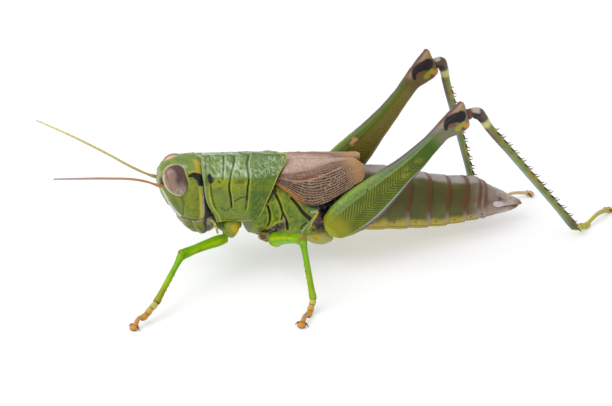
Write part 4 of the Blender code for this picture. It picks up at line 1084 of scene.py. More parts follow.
cross_place = place / CROSS_VEIN_STEP + 3 * cell_number(vein_cells, 83) + 0.9 * ripple(flat_place, 0.35, 85)
cross_gap = np.abs(cross_place - np.round(cross_place))
veins = fade(vein_gap, 0.06, 0.27 + 0.08 * ripple(flat_place, 0.6, 84))
cross_veins = fade(cross_gap, 0.03, 0.2)
net = np.maximum(veins, 0.8 * cross_veins) * flank
ribs = bell(level, 0.02, 0.025) + bell(level, 0.33, 0.02) * fade(place, 4.5, 6)
rust = ease(level, 0.2, 0.23) * fade(level, 0.27, 0.3) * ease(place, -0.8, 0) * fade(place, 1.6, 2.6)
first, second = cell_gaps(flat_place * (0.7, 1, 1), 0.3, 87)
veinlets = fade(second - first, 0.05, 0.25) * (1 - flank)
to_tip = ease(place, 4.5, 6.4)
rim = np.maximum(ease(across[..., 0], 0.975, 0.99), ease(along, 0.975, 0.99)[:, None])
past_shield = place - np.interp(arc, *np.array(WING_SHIELD_EDGE).T)
relief = 0.06 * net + 0.07 * ribs + 0.012 * veinlets + 0.04 * rim + 0.02 * ripple(flat_place, 0.8, 89)
relief *= fade(across[..., 0], 0.99, 1.0)
dark_root = ease(level, 0.36, 0.44) * fade(level, 0.6, 0.75) * fade(place, -0.4, 1.0)
low_root = ease(level, 0.68, 0.9) * fade(place, -0.6, 0.9)
paint = painted(
    base_points, WING_PALE,
    (WING_MIDDLE, 0.3 * blotches(flat_place * (0.5, 1, 1), 0.16, 86, 0.1, 0.7)),
    (VEINLET_PALE, 0.4 * veinlets),
    (WING_MIDDLE, 0.25 * ease(arc - field_edge, -0.9, 0.0)),
    (WING_BROWN, 0.95 * flank * (1 - 0.5 * to_tip) * (0.6 + 0.4 * ease(level, 0.05, 0.4))),
    (WING_VEIN, (0.8 - 0.25 * fade(level, 0.1, 0.35)) * net),
    (WING_RUST, 0.7 * rust),
    (BLUE_BLACK, 0.55 * dark_root * (1 - 0.6 * net)),
    (WING_PALE, 0.75 * np.minimum(ribs, 1)),
    (WING_TIP, 0.75 * to_tip * (0.5 + 0.5 * flank)),
    (ROOT_ORANGE, 0.8 * low_root),
    (RIM_PALE, 0.7 * rim * ease(place, 4.5, 6.2)),
    (RIM_BROWN, 0.6 * rim * fade(place, 4.5, 6.2)),
    (INNER_TAN, 0.7 * fade(arc, 0.06, 0.14) * fade(place, 5.4, 6)),
    # Painted shadow of the shield's rear edge on the wings.
    (BLUE_BLACK, 0.9 * fade(past_shield, 0.1, 0.3) * ease(arc, 0.9, 1.5)),
    (BLUE_BLACK, 0.8 * fade(past_shield, 0.0, 0.1)),
)
wing_finish = cuticle_finish("wing_parchment", 0.5, cloud=(0.5, 0.35), grain=(0.05, 0.7), bump=0.03)
for side, name, underlap in ((-1, "left", 0), (1, "right", WING_UNDERLAP)):
    outer = base_points + normals * (WING_LIFT + relief - underlap)[..., None]
    inner = base_points + normals * (WING_LIFT - WING_LEAF - underlap)
    shell = np.concatenate([outer, inner[:, ::-1]], axis=1) * (1, side, 1)
    # The inner face takes the same paint darkened, as painted shade.
    coat = np.concatenate([paint, (paint * 0.6)[:, ::-1]], axis=1)
    if name == "right":
        toward_tip = ease(shell[..., 0], 3.5, 6.8)
        shell[..., 0] += FAR_TIP_REACH * toward_tip
        shell[..., 2] -= FAR_TIP_DROP * toward_tip
        coat = layered(coat, (FAR_TIP_BROWN, 0.8 * toward_tip * fade(shell[..., 1], 0.5, 0.9)))
    make_piece(f"wing_leaf_{name}", [sheet(shell, coat)], wing_finish, [f"tegmen_{name}"])

# Abdomen: a tapering body of ringed plates, each sliding under the one before it, joined
# by thin skin that shows as a rusty band. A fold along each flank parts the back plates
# from the belly plates. Olive green, yellow below, with a painted grey reflection of the
# sky along the top.

ABDOMEN_ROWS = 400
ABDOMEN_COLUMNS = 240
ABDOMEN_SHAPE = ((3.9, 8.5, 1.95, 2.7), (6.0, 8.2, 1.85, 2.8), (8.4, 7.65, 1.7, 2.85),
                 (10.8, 7.1, 1.35, 2.8), (14.0, 5.9, 1.0, 2.42), (17.0, 5.1, 0.98, 2.1),
                 (18.1, 4.98, 1.0, 1.95), (18.8, 4.7, 1.0, 1.75), (19.5, 4.25, 1.08, 1.5),
                 (20.2, 3.66, 1.18, 1.2), (20.8, 3.1, 1.3, 0.95))
ABDOMEN_JOINTS = (3.4, 5.0, 6.6, 8.7, 10.86, 12.94, 14.84, 16.62, 18.05, 18.72, 20.4)
PLATE_LEAN = (0.4, -0.06)
ABDOMEN_OLIVE = shade(74, 68, 14)
ABDOMEN_GREEN = shade(90, 96, 36)
ABDOMEN_SKY_REFLECTION = shade(166, 158, 158)
ABDOMEN_YELLOW = shade(182, 164, 52)
ABDOMEN_RUST = shade(98, 48, 4)
ABDOMEN_PINK = shade(158, 138, 130)

station = np.linspace(3.5, 20.05, ABDOMEN_ROWS)[:, None]
turn = round_turn(ABDOMEN_COLUMNS)[None, :]
top, low, half = columns_of(ABDOMEN_SHAPE, station[:, 0])
middle = low + (top - low) * 0.47
leaned = station[:, 0] + PLATE_LEAN[0] * (top - middle)[:, 0]
rise = top - middle
top = columns_of(ABDOMEN_SHAPE, leaned)[0]
out, up = oval(turn, top - middle, middle - low, half, 2.0, 2.2)
lean = np.where(up > 0, PLATE_LEAN[0] * up * np.abs(up) / rise, PLATE_LEAN[1] * up)
abdomen = grid_of(station + lean, out, middle + up)
degrees = np.degrees(np.minimum(turn, 2 * math.pi - turn))
joints = np.array(ABDOMEN_JOINTS)
plate = np.clip(np.searchsorted(joints, station[:, 0], side="right") - 1, 0, len(joints) - 2)
plate_length = (joints[plate + 1] - joints[plate])[:, None]
plate_share = (station - joints[plate][:, None]) / plate_length
to_rear = (1 - plate_share) * plate_length
profile = 0.08 * ease(plate_share, 0.0, 0.75) - 0.07 * fade((plate_share * plate_length), 0.0, 0.22)
profile -= 0.06 * fade(to_rear, 0.0, 0.05)
flank_fold = bell(degrees, 128, 3.0)
height = profile - 0.1 * flank_fold * (1 - 0.4 * ease(station, 16, 19))
height += 0.03 * ripple(abdomen, 1.0, 91) + 0.01 * ripple(abdomen, 0.25, 93)
height += 0.012 * np.sin(plate_share * plate_length * 18) * ease(degrees, 60, 90) * fade(degrees, 118, 126)
air_hole = np.hypot((plate_share - 0.3) * plate_length, (degrees - 114) / 180 * math.pi * half)
air_hole = fade(air_hole, 0.06, 0.14) * (plate[:, None] < 9)
height -= 0.08 * air_hole
abdomen_shell = raised(abdomen, height)
cloud = 0.5 + 0.5 * ripple(abdomen, 1.3, 95)
uneven = degrees + 7 * ripple(abdomen, 0.8, 97)
rust = fade(to_rear, 0.34, 0.5) * (0.85 + 0.15 * ripple(abdomen, 0.4, 101))
rust = rust * ease(station, 8.0, 10.5)
low_flank = ease(degrees, 80, 112)
paint = painted(
    abdomen, ABDOMEN_OLIVE,
    (ABDOMEN_GREEN, cloud),
    # Painted grey reflection of the sky along the upper flanks.
    (ABDOMEN_SKY_REFLECTION, 0.8 * fade(uneven, 11, 25) * (1 - 0.3 * ease(station, 18.0, 18.8))),
    (ABDOMEN_OLIVE, 0.8 * ease(degrees, 26, 40) * fade(degrees, 62, 84)),
    (ABDOMEN_YELLOW, 0.85 * ease(degrees + 6 * ripple(abdomen, 0.7, 99), 98, 118)),
    (ABDOMEN_PINK, 0.75 * ease(station, 16.2, 18.6)),
    (ABDOMEN_RUST, 0.9 * rust * (1 - low_flank)),
    (ABDOMEN_PINK, 0.85 * rust * low_flank * (1 - 0.6 * ease(degrees, 118, 132))),
    (ABDOMEN_RUST, 0.35 * blotches(abdomen * (1, 1, 1.4), 0.9, 103, 0.1, 0.6)
     * ease(degrees, 45, 60) * fade(degrees, 85, 105) * ease(station, 12, 15)),
    (MOUTH_DARK, 0.35 * flank_fold + 0.8 * air_hole),
)
abdomen_finish = cuticle_finish("abdomen_cuticle", 0.48, cloud=(0.8, 0.45), grain=(0.1, 0.6),
                                pits=(0.18, 0.06), coat=0.05, bump=0.04)
make_piece("abdomen_rings", [sheet(abdomen_shell, paint)], abdomen_finish, ["abdomen"])

# Tail: the plate over the vent, two pale pointed feelers beside it, and the two pairs of
# hard egg-laying blades, hooked at their dark tips. All hinge in the last ring.

BLADE_ROWS = 70
BLADE_COLUMNS = 48
TAIL_SQUARE = 2.2
TAIL_GREY = shade(184, 172, 160)
TAIL_BROWN = shade(132, 92, 58)
TAIL_DARK = shade(58, 44, 34)
FEELER_PINK = shade(206, 190, 196)
tail_finish = cuticle_finish("tail_cuticle", 0.45, cloud=(0.5, 0.35), grain=(0.06, 0.6), coat=0.2,
                             bump=0.04)


def tail_blade(name, knots, sizes, base, tip, slot_node):
    """Pointed piece of the tail, with its sizes up and sideways from root to tip."""
    share = np.linspace(0, 1, BLADE_ROWS)
    along = share[:, None]
    half = smooth_line(sizes, share)
    half[0] *= 0.9
    half[-1] = 0.03
    grid = limb_grid(knots, BLADE_ROWS, BLADE_COLUMNS, half[:, 0], half[:, 1], power=TAIL_SQUARE)
    paint = painted(
        grid, base,
        (tip, ease(along, 0.55, 0.95)),
        (TAIL_DARK, 0.6 * ease(along, 0.92, 1.0)),
        (tip, 0.4 * blotches(grid, 0.35, 111, 0.1, 0.6)),
    )
    grid = raised(grid, 0.02 * ripple(grid, 0.3, 113))
    return make_piece(name, [sheet(grid, paint)], tail_finish, [slot_node])


tail_blade("vent_plate", ((19.8, 0, 3.3), (20.5, 0, 2.95), (21.0, 0, 2.66), (21.5, 0, 2.42)),
           ((0, 0.3, 0.95), (0.5, 0.28, 0.74), (0.9, 0.2, 0.4), (1, 0.1, 0.1)),
           ABDOMEN_PINK, TAIL_GREY, "epiproct")
tail_blade("upper_blades", ((19.8, 0, 2.2), (20.9, 0, 2.2), (21.9, 0, 1.95), (22.78, 0, 1.5)),
           ((0, 0.6, 0.9), (0.4, 0.5, 0.72), (0.7, 0.36, 0.46), (0.92, 0.2, 0.22), (1, 0.05, 0.05)),
           TAIL_GREY, TAIL_BROWN, "ovipositor_upper")
tail_blade("lower_blades", ((19.8, 0, 1.5), (20.9, 0, 1.38), (21.7, 0, 1.32), (22.45, 0, 1.36)),
           ((0, 0.4, 0.86), (0.4, 0.36, 0.7), (0.7, 0.25, 0.42), (0.92, 0.15, 0.2), (1, 0.05, 0.05)),
           TAIL_GREY, TAIL_BROWN, "ovipositor_lower")
for side, name in SIDES:
    tail_blade(f"tail_feeler_{name}",
               ((19.3, 1.35 * side, 2.8), (19.95, 1.5 * side, 2.7), (20.7, 1.3 * side, 2.5)),
               ((0, 0.16, 0.16), (0.3, 0.27, 0.22), (0.6, 0.24, 0.2), (0.9, 0.1, 0.1), (1, 0.03, 0.03)),
               FEELER_PINK, TAIL_GREY, f"cercus_{name}")

# Walking legs: tubes of hard bright green cuticle, ridged lengthwise and joined by thin
# skin. Each has a hip joint, a thigh, a brown knee, a shank with two rows of small thorns
# and a three-jointed foot with soft pads, a round toe pad and two hooked claws.

WALKING_JOINTS = {
    "front_left": ((-6.55, -2.4, 4.1), (-11.01, -3.82, 3.96), (-14.4, -7.2, 1.42), (-17.1, -8.85, 0.3)),
    "front_right": ((-6.5, 2.6, 4.1), (-8.2, 6.7, 5.9), (-7.0, 8.8, 1.45), (-7.2, 11.3, 0.3)),
    "middle_left": ((-2.22, -2.87, 3.6), (-1.04, -8.27, 6.3), (-0.58, -10.05, 0.98), (-2.65, -12.9, 0.3)),
    "middle_right": ((-2.22, 2.87, 3.6), (-1.2, 8.7, 5.2), (-3.9, 10.75, 1.3), (-4.9, 12.95, 0.3)),
}
LEG_ROWS = 130
THIGH_COLUMNS = 60
SHANK_COLUMNS = 44
FOOT_ROWS = 60
FOOT_COLUMNS = 24
SMALL_THORNS = 6
WALKING_THIGH_WIDTH = ((0, 0.4, 0.36), (0.1, 0.5, 0.44), (0.4, 0.48, 0.43), (0.7, 0.44, 0.38),
                       (0.9, 0.5, 0.42), (0.97, 0.48, 0.4), (1, 0.3, 0.24))
WALKING_SHANK_WIDTH = ((0, 0.3), (0.05, 0.36), (0.12, 0.3), (0.5, 0.26), (0.85, 0.28), (0.96, 0.32),
                       (1, 0.28))
LAST_JOINT_WIDTH = ((0, 0.17), (0.3, 0.18), (0.8, 0.22), (1, 0.24))
TOE_PAD_WIDTH = ((0, 0.14), (0.3, 0.34), (0.75, 0.38), (1, 0.16))
LEG_GREEN = shade(112, 164, 0)
LEG_YELLOW = shade(172, 188, 0)
LEG_LIGHT = shade(150, 194, 70)
LEG_OLIVE = shade(140, 124, 14)
KNEE_BROWN = shade(142, 110, 52)
THORN_DARK = shade(36, 28, 24)
THORN_PALE = shade(84, 80, 66)
FOOT_PALE = shade(190, 178, 84)
FOOT_GREEN = shade(160, 166, 40)
FOOT_ORANGE = shade(196, 132, 46)
FOOT_BROWN = shade(98, 58, 30)
FOOT_SHEEN_GREY = shade(150, 134, 134)
CLAW_BROWN = shade(44, 22, 44)
leg_finish = cuticle_finish("leg_green", 0.45, cloud=(0.8, 0.22), grain=(0.08, 0.4), bump=0.03,
                            shine=0.12)
foot_finish = cuticle_finish("foot_cuticle", 0.45, cloud=(0.4, 0.35), grain=(0.05, 0.6), coat=0.15,
                             bump=0.03)


def thorn(root, tip, radius, colours, bow=(0, 0, 0), rows=7, columns=8):
    """Curved pointed thorn, painted from root to tip."""
    middle = (root + tip) / 2 + bow
    share = np.linspace(0, 1, rows)
    up = (0.3, 0.2, 0.9) if abs((tip - root)[2]) < 0.8 * np.linalg.norm(tip - root) else (1, 0.1, 0)
    half = radius * (1 - share) ** 0.8 + 0.008
    grid = limb_grid((root, middle, tip), rows, columns, half, half, up)
    paint = between(colours, ease(share, 0.2, 0.9)[:, None, None]) + 0 * grid
    return sheet(grid, paint)


def foot_sheets(heel, toe, pad_place=(0.3, 0.26), size=1.0, tint=FOOT_ORANGE, strength=0.0):
    """Two short padded joints, the long last joint, the toe pad and two claws."""
    ahead = toe - heel
    ahead[2] = 0
    reach = np.linalg.norm(ahead)
    ahead /= reach
    side = np.array([-ahead[1], ahead[0], 0])
    lift = np.array([0, 0, 1.0])
    pad = heel + ahead * reach * pad_place[0]
    pad[2] = pad_place[1]
    share = np.linspace(0, 1, FOOT_ROWS)
    along = share[:, None]

    def joint(knots, half_up, half_side):
        return limb_grid(knots, FOOT_ROWS, FOOT_COLUMNS, half_up, half_side)

    def above_toe(height):
        return np.array([toe[0], toe[1], height])

    lumps = (0.26 + 0.07 * np.abs(np.sin(share * 3 * math.pi))) * size
    lumps[0] = lumps[-1] = 0.05
    start = heel - ahead * 0.05
    grid = joint((start, (start + pad) / 2 + lift * 0.06, pad, pad + ahead * 0.5), lumps, lumps * 0.95)
    grid[..., 2] = np.maximum(grid[..., 2], 0.004)
    joint_lines = bell(along, 0.34, 0.035) + bell(along, 0.66, 0.035)
    underside = ease((grid.mean(axis=1, keepdims=True) - grid)[..., 2], 0.08, 0.22)
    paint = painted(
        grid, FOOT_PALE,
        (FOOT_ORANGE, 0.9 * ease(along, 0.2, 0.7)),
        (FOOT_BROWN, 0.7 * joint_lines),
        # Painted shade under the padded joints.
        (FOOT_BROWN, 0.8 * underside * ease(along, 0.5, 0.8)),
        (tint, strength),
    )
    parts = [sheet(grid, paint)]
    radius = curve(LAST_JOINT_WIDTH, share) * size
    radius[0] = radius[-1] = 0.05
    grid = joint((pad + lift * 0.1 + ahead * 0.2, pad + (toe - pad) * 0.5 + lift * 0.34,
                  above_toe(0.38) - ahead * 0.5), radius, radius)
    rise = (grid - grid.mean(axis=1, keepdims=True))[..., 2]
    later = ease(along, 0.25, 0.45)
    paint = painted(
        grid, FOOT_GREEN,
        (FOOT_ORANGE, later),
        # The last joint: painted shade underneath and a greyish painted sheen on top.
        (FOOT_BROWN, 0.85 * later * fade(rise, -0.1, 0.0)),
        (FOOT_SHEEN_GREY, 0.7 * later * ease(rise, 0.08, 0.15) * fade(along, 0.7, 0.9)),
        (tint, strength),
    )
    parts.append(sheet(grid, paint))
    heart = above_toe(0.24)
    radius = curve(TOE_PAD_WIDTH, share)
    radius[0] = radius[-1] = 0.03
    grid = joint((heart - ahead * 0.75 + lift * 0.1, heart - ahead * 0.35, heart + ahead * 0.08),
                 radius * 0.66, radius)
    grid[..., 2] = np.maximum(grid[..., 2], 0.003)
    # The toe pad darkens towards the floor as painted shade.
    paint = painted(grid, FOOT_ORANGE, (CLAW_BROWN, fade(grid[..., 2], 0.12, 0.26)), (tint, strength * 0.6))
    parts.append(sheet(grid, paint))
    for way in (-1, 1):
        root = above_toe(0.36) - ahead * 0.55 + side * way * 0.1
        tip = root + ahead * 0.22 + side * way * 0.56
        tip[2] = 0.12
        parts.append(thorn(root, tip, 0.11, (FOOT_BROWN, CLAW_BROWN), bow=(0, 0, 0.14), rows=12, columns=10))
    return parts


def ridged(grid, count, height):
    """Lengthwise ridges round a limb, as on hard green cuticle."""
    turn = round_turn(grid.shape[1])[None, :]
    return raised(grid, height * np.abs(np.cos(turn * count / 2)) ** 6)


def walking_leg(name, joints, hip_bulge, pad_place):
    """Thigh, shank and foot of a front or middle leg."""
    hip, knee, shank_end, toe = (np.array(joint, float) for joint in joints)
    side = -1 if hip[1] < 0 else 1
    ahead = unit(knee - hip)
    share = np.linspace(0, 1, LEG_ROWS)
    along = share[:, None]
    half = smooth_line(WALKING_THIGH_WIDTH, share)
    half += hip_bulge * bell(share, 0.1, 0.1)[:, None]
    half[0] = half[-1] = 0.08
    bend = (hip + knee) / 2 + (0, 0, 0.08)
    grid = limb_grid((hip - ahead * 0.1 - (0, 0, hip_bulge), bend, knee + ahead * 0.28),
                     LEG_ROWS, THIGH_COLUMNS, half[:, 0], half[:, 1])
    grid = ridged(grid, 6, 0.03)
    turn = round_turn(THIGH_COLUMNS)[None, :]
    knee_mottle = blotches(grid, 0.3, 127, -0.4, 0.4)
    paint = painted(
        grid, LEG_GREEN,
        (LEG_YELLOW, 0.75 * bell(np.abs(turn - math.pi), 1.9, 0.35) * ease(along, 0.05, 0.2)
         * fade(along, 0.75, 0.9)),
        (LEG_LIGHT, 0.7 * (np.cos(turn) < -0.4)),
        (DEEP_GREEN, 0.3 * blotches(grid * (0.6, 1, 1), 0.35, 151, 0.1, 0.6)),
        (KNEE_BROWN, 0.8 * ease(along, 0.92, 0.97) * knee_mottle),
        (LEG_YELLOW, 0.6 * fade(along, 0.0, 0.08)),
    )
    make_piece(f"{name}_thigh", [sheet(grid, paint)], leg_finish, [f"{name}_femur"])
    down = unit(shank_end - knee)
    start = knee - down * 0.05
    length = np.linalg.norm(shank_end - start)
    half = curve(WALKING_SHANK_WIDTH, share)
    half[0] = half[-1] = 0.06
    grid = limb_grid((start, start + down * length * 0.5, shank_end), LEG_ROWS, SHANK_COLUMNS,
                     half, half * 0.92, up=(1, 0, 0.2))
    grid = ridged(grid, 4, 0.02)
    corners = np.cos(2 * round_turn(SHANK_COLUMNS))[None, :]
    edge_lines = ease(corners, 0.75, 0.95) * ease(along, 0.1, 0.3)
    browning = 0.75 if name.startswith("front") else 0.15
    paint = painted(
        grid, LEG_GREEN,
        (LEG_YELLOW, 0.5 * ease(along, 0.3, 0.7)),
        (OLIVE_BROWN, 0.4 * edge_lines),
        (DEEP_GREEN, 0.3 * blotches(grid * (1, 1, 0.6), 0.35, 153, 0.1, 0.6)),
        (KNEE_BROWN, 0.6 * fade(along, 0.01, 0.05)),
        (LEG_OLIVE, browning * ease(along, 0.5, 0.8)),
        (LEG_LIGHT, 0.3 * (corners < -0.5)),
        (FOOT_BROWN, 0.8 * ease(along, 0.96, 0.99)),
    )
    parts = [sheet(grid, paint)]
    outward_y = unit(np.cross(down, (0, 0, 1)))
    under = np.cross(down, outward_y)
    if under[1] * side > 0:
        under = -under
    for row in (-1, 1):
        for number in range(SMALL_THORNS):
            root = start + down * length * (0.38 + 0.1 * number + 0.03 * (row > 0))
            away = unit(under + outward_y * row * 0.8)
            parts.append(thorn(root + away * 0.22, root + away * 0.38 + down * 0.16, 0.04,
                               (LEG_YELLOW, KNEE_BROWN)))
    make_piece(f"{name}_shank", parts, leg_finish, [f"{name}_tibia"])
    make_piece(f"{name}_foot", foot_sheets(shank_end, toe, pad_place), foot_finish,
               [f"{name}_tarsus"])


for name, joints in WALKING_JOINTS.items():
    middle_pair = name.startswith("middle")
    walking_leg(name, joints, hip_bulge=0.16 if middle_pair else 0.0,
                pad_place=(0.3, 0.26) if middle_pair else (0.44, 0.75))

# The hip joints of all six legs are short and stout, and sit in the sockets of the thorax.
HIP_ROWS = 60
HIP_COLUMNS = 48
HIPS = {
    "front": ((-5.9, 1.85, 5.6), (-5.95, 2.15, 5.0), (-6.45, 2.5, 4.3), (0.58, 0.7, 0.5)),
    "middle": ((-3.2, 2.0, 3.55), (-2.95, 2.4, 3.7), (-2.4, 2.75, 3.6), (0.34, 0.42, 0.4)),
    "hind": ((1.1, 1.9, 2.85), (2.3, 2.3, 2.65), (3.5, 2.9, 2.85), (0.45, 0.62, 0.5)),
}
HIP_PAINTS = {"front": (shade(132, 146, 60), shade(196, 168, 20), (-5.6, 2.7, 5.05), 0.6),
              "middle": (shade(150, 138, 84), MEMBRANE_BROWN, (-3.0, 2.7, 3.8), 0.35),
              "hind": (shade(170, 166, 96), shade(204, 172, 40), (1.95, 2.9, 3.05), 0.42)}
for side, side_name in SIDES:
    for pair, (root, bulge, hip, sizes) in HIPS.items():
        mirror = np.array([1, side, 1])
        share = np.linspace(0, 1, HIP_ROWS)
        half = curve(((0, sizes[0]), (0.5, sizes[1]), (1, sizes[2])), share)
        half *= np.sqrt(np.clip(1 - (2 * share - 1) ** 6, 0, 1)) + 0.03
        grid = limb_grid(np.array([root, bulge, hip]) * mirror, HIP_ROWS, HIP_COLUMNS, half, half,
                         up=(0.2, 0, 1))
        base, patch, heart, reach = HIP_PAINTS[pair]
        gap = np.linalg.norm(grid - heart * mirror, axis=-1) / reach
        paint = painted(
            grid, base,
            (patch, 0.9 * fade(gap + 0.4 * ripple(grid, 0.3, 121), 0.5, 1.1)),
            (MEMBRANE_BROWN, 0.5 * blotches(grid, 0.35, 123, 0.35, 0.7)),
        )
        grid = raised(grid, 0.05 * ripple(grid, 0.45, 125))
        make_piece(f"{pair}_{side_name}_hip", [sheet(grid, paint)], leg_finish,
                   [f"{pair}_{side_name}_coxa"])

# Hind legs: hard cuticle too, hinged at a knee with a dark crescent. The jumping thigh is
# deep and flat-sided, with a feather pattern of slanting ribs on its outer face. The long
# thin shank has two rows of thorns along its rear edge and four spurs at its end.

HIND_JOINTS = {
    "hind_left": ((2.87, -3.85, 3.6), (16.37, -3.4, 13.35), (26.38, -4.63, 0.85), (31.2, -1.35, 0.4)),
    "hind_right": ((3.8, 3.85, 3.2), (15.8, 4.05, 15.2), (19.5, 3.3, 0.85), (25.2, 3.5, 0.35)),
}
SHANK_BENDS = {
    "hind_left": ((15.95, -3.42, 13.75), (16.52, -3.43, 13.9), (17.05, -3.44, 13.7), (17.5, -3.45, 13.15),
                  (17.93, -3.48, 12.4)),
    "hind_right": ((14.9, 4.08, 15.0), (15.55, 4.1, 15.32), (16.0, 4.12, 15.24), (16.25, 4.1, 14.7),
                   (16.5, 4.05, 13.4)),
}
THIGH_SHAPE = ((0.05, 0.8, 0.1, 0.35), (0.4, 1.5, -0.6, 0.62), (1.3, 2.1, -1.25, 0.8),
               (2.6, 2.33, -1.68, 0.84), (4.2, 2.3, -1.82, 0.84), (6.2, 2.03, -1.56, 0.76),
               (8.6, 1.66, -1.02, 0.66), (9.6, 1.57, -0.86, 0.61), (10.6, 1.52, -0.67, 0.56),
               (11.6, 1.53, -0.44, 0.53), (12.4, 1.57, -0.27, 0.5), (13.2, 1.67, -0.12, 0.5),
               (13.8, 1.77, -0.03, 0.51), (14.8, 1.95, -0.35, 0.58), (15.6, 2.05, -0.52, 0.62),
               (16.2, 2.1, -0.3, 0.55), (16.55, 2.12, 0.5, 0.46), (16.85, 2.08, 1.4, 0.36),
               (16.98, 1.95, 1.7, 0.12))
RIGHT_SLIMMER = 0.1
RIB_PITCH = 0.33
RIB_SLANT = 0.9
FIELD_REACH = 0.66
THIGH_SQUARE = 2.5
HIND_THIGH_ROWS = 400
HIND_THIGH_COLUMNS = 190
THIGH_LENGTH = 16.66
THIGH_FIELD = shade(60, 76, 4)
THIGH_RIB = shade(150, 154, 22)
THIGH_STRIP = shade(118, 142, 52)
THIGH_BASE = shade(144, 142, 0)
THIGH_EDGE = shade(112, 44, 104)
THIGH_SHEEN = shade(158, 200, 200)
THIGH_OLIVE = shade(123, 111, 41)
THIGH_LEDGE_SHEEN = shade(88, 106, 86)
THIGH_SCAR = shade(212, 150, 110)
THIGH_SPOTS = ((5.35, 1.62, 0.14), (5.1, 1.5, 0.08), (2.2, -1.35, 0.1), (7.6, -0.2, 0.06))
KNEE_TAN = shade(162, 134, 100)
KNEE_GREY = shade(128, 116, 104)
KNEE_EDGE = shade(84, 52, 66)
KNEE_DUSK = shade(86, 64, 44)
KNEE_CRESCENT = ((14.3, 1.2, 0), (14.55, 1.5, 0), (15.05, 1.6, 0), (15.6, 1.46, 0), (16.05, 1.18, 0))
KNEE_PATCHES = (
    (((14.75, 1.2, 0), (15.1, 1.02, 0)), 0.19, shade(122, 58, 52)),
    (((15.15, 0.45, 0), (15.8, 0.42, 0)), 0.28, shade(170, 158, 22)),
    (((15.8, -0.05, 0), (16.3, -0.1, 0)), 0.26, shade(212, 132, 70)),
    (((14.9, -0.36, 0), (15.3, -0.5, 0)), 0.16, shade(196, 116, 66)),
    (((15.5, 0.1, 0), (15.7, -0.5, 0)), 0.12, shade(70, 44, 60)),
)
thigh_finish = cuticle_finish("thigh_cuticle", 0.4, cloud=(0.9, 0.3), grain=(0.07, 0.5), coat=0.12,
                              bump=0.03, shine=0.2)
shank_finish = cuticle_finish("shank_cuticle", 0.42, cloud=(0.5, 0.4), grain=(0.06, 0.5), coat=0.2,
                              bump=0.03)


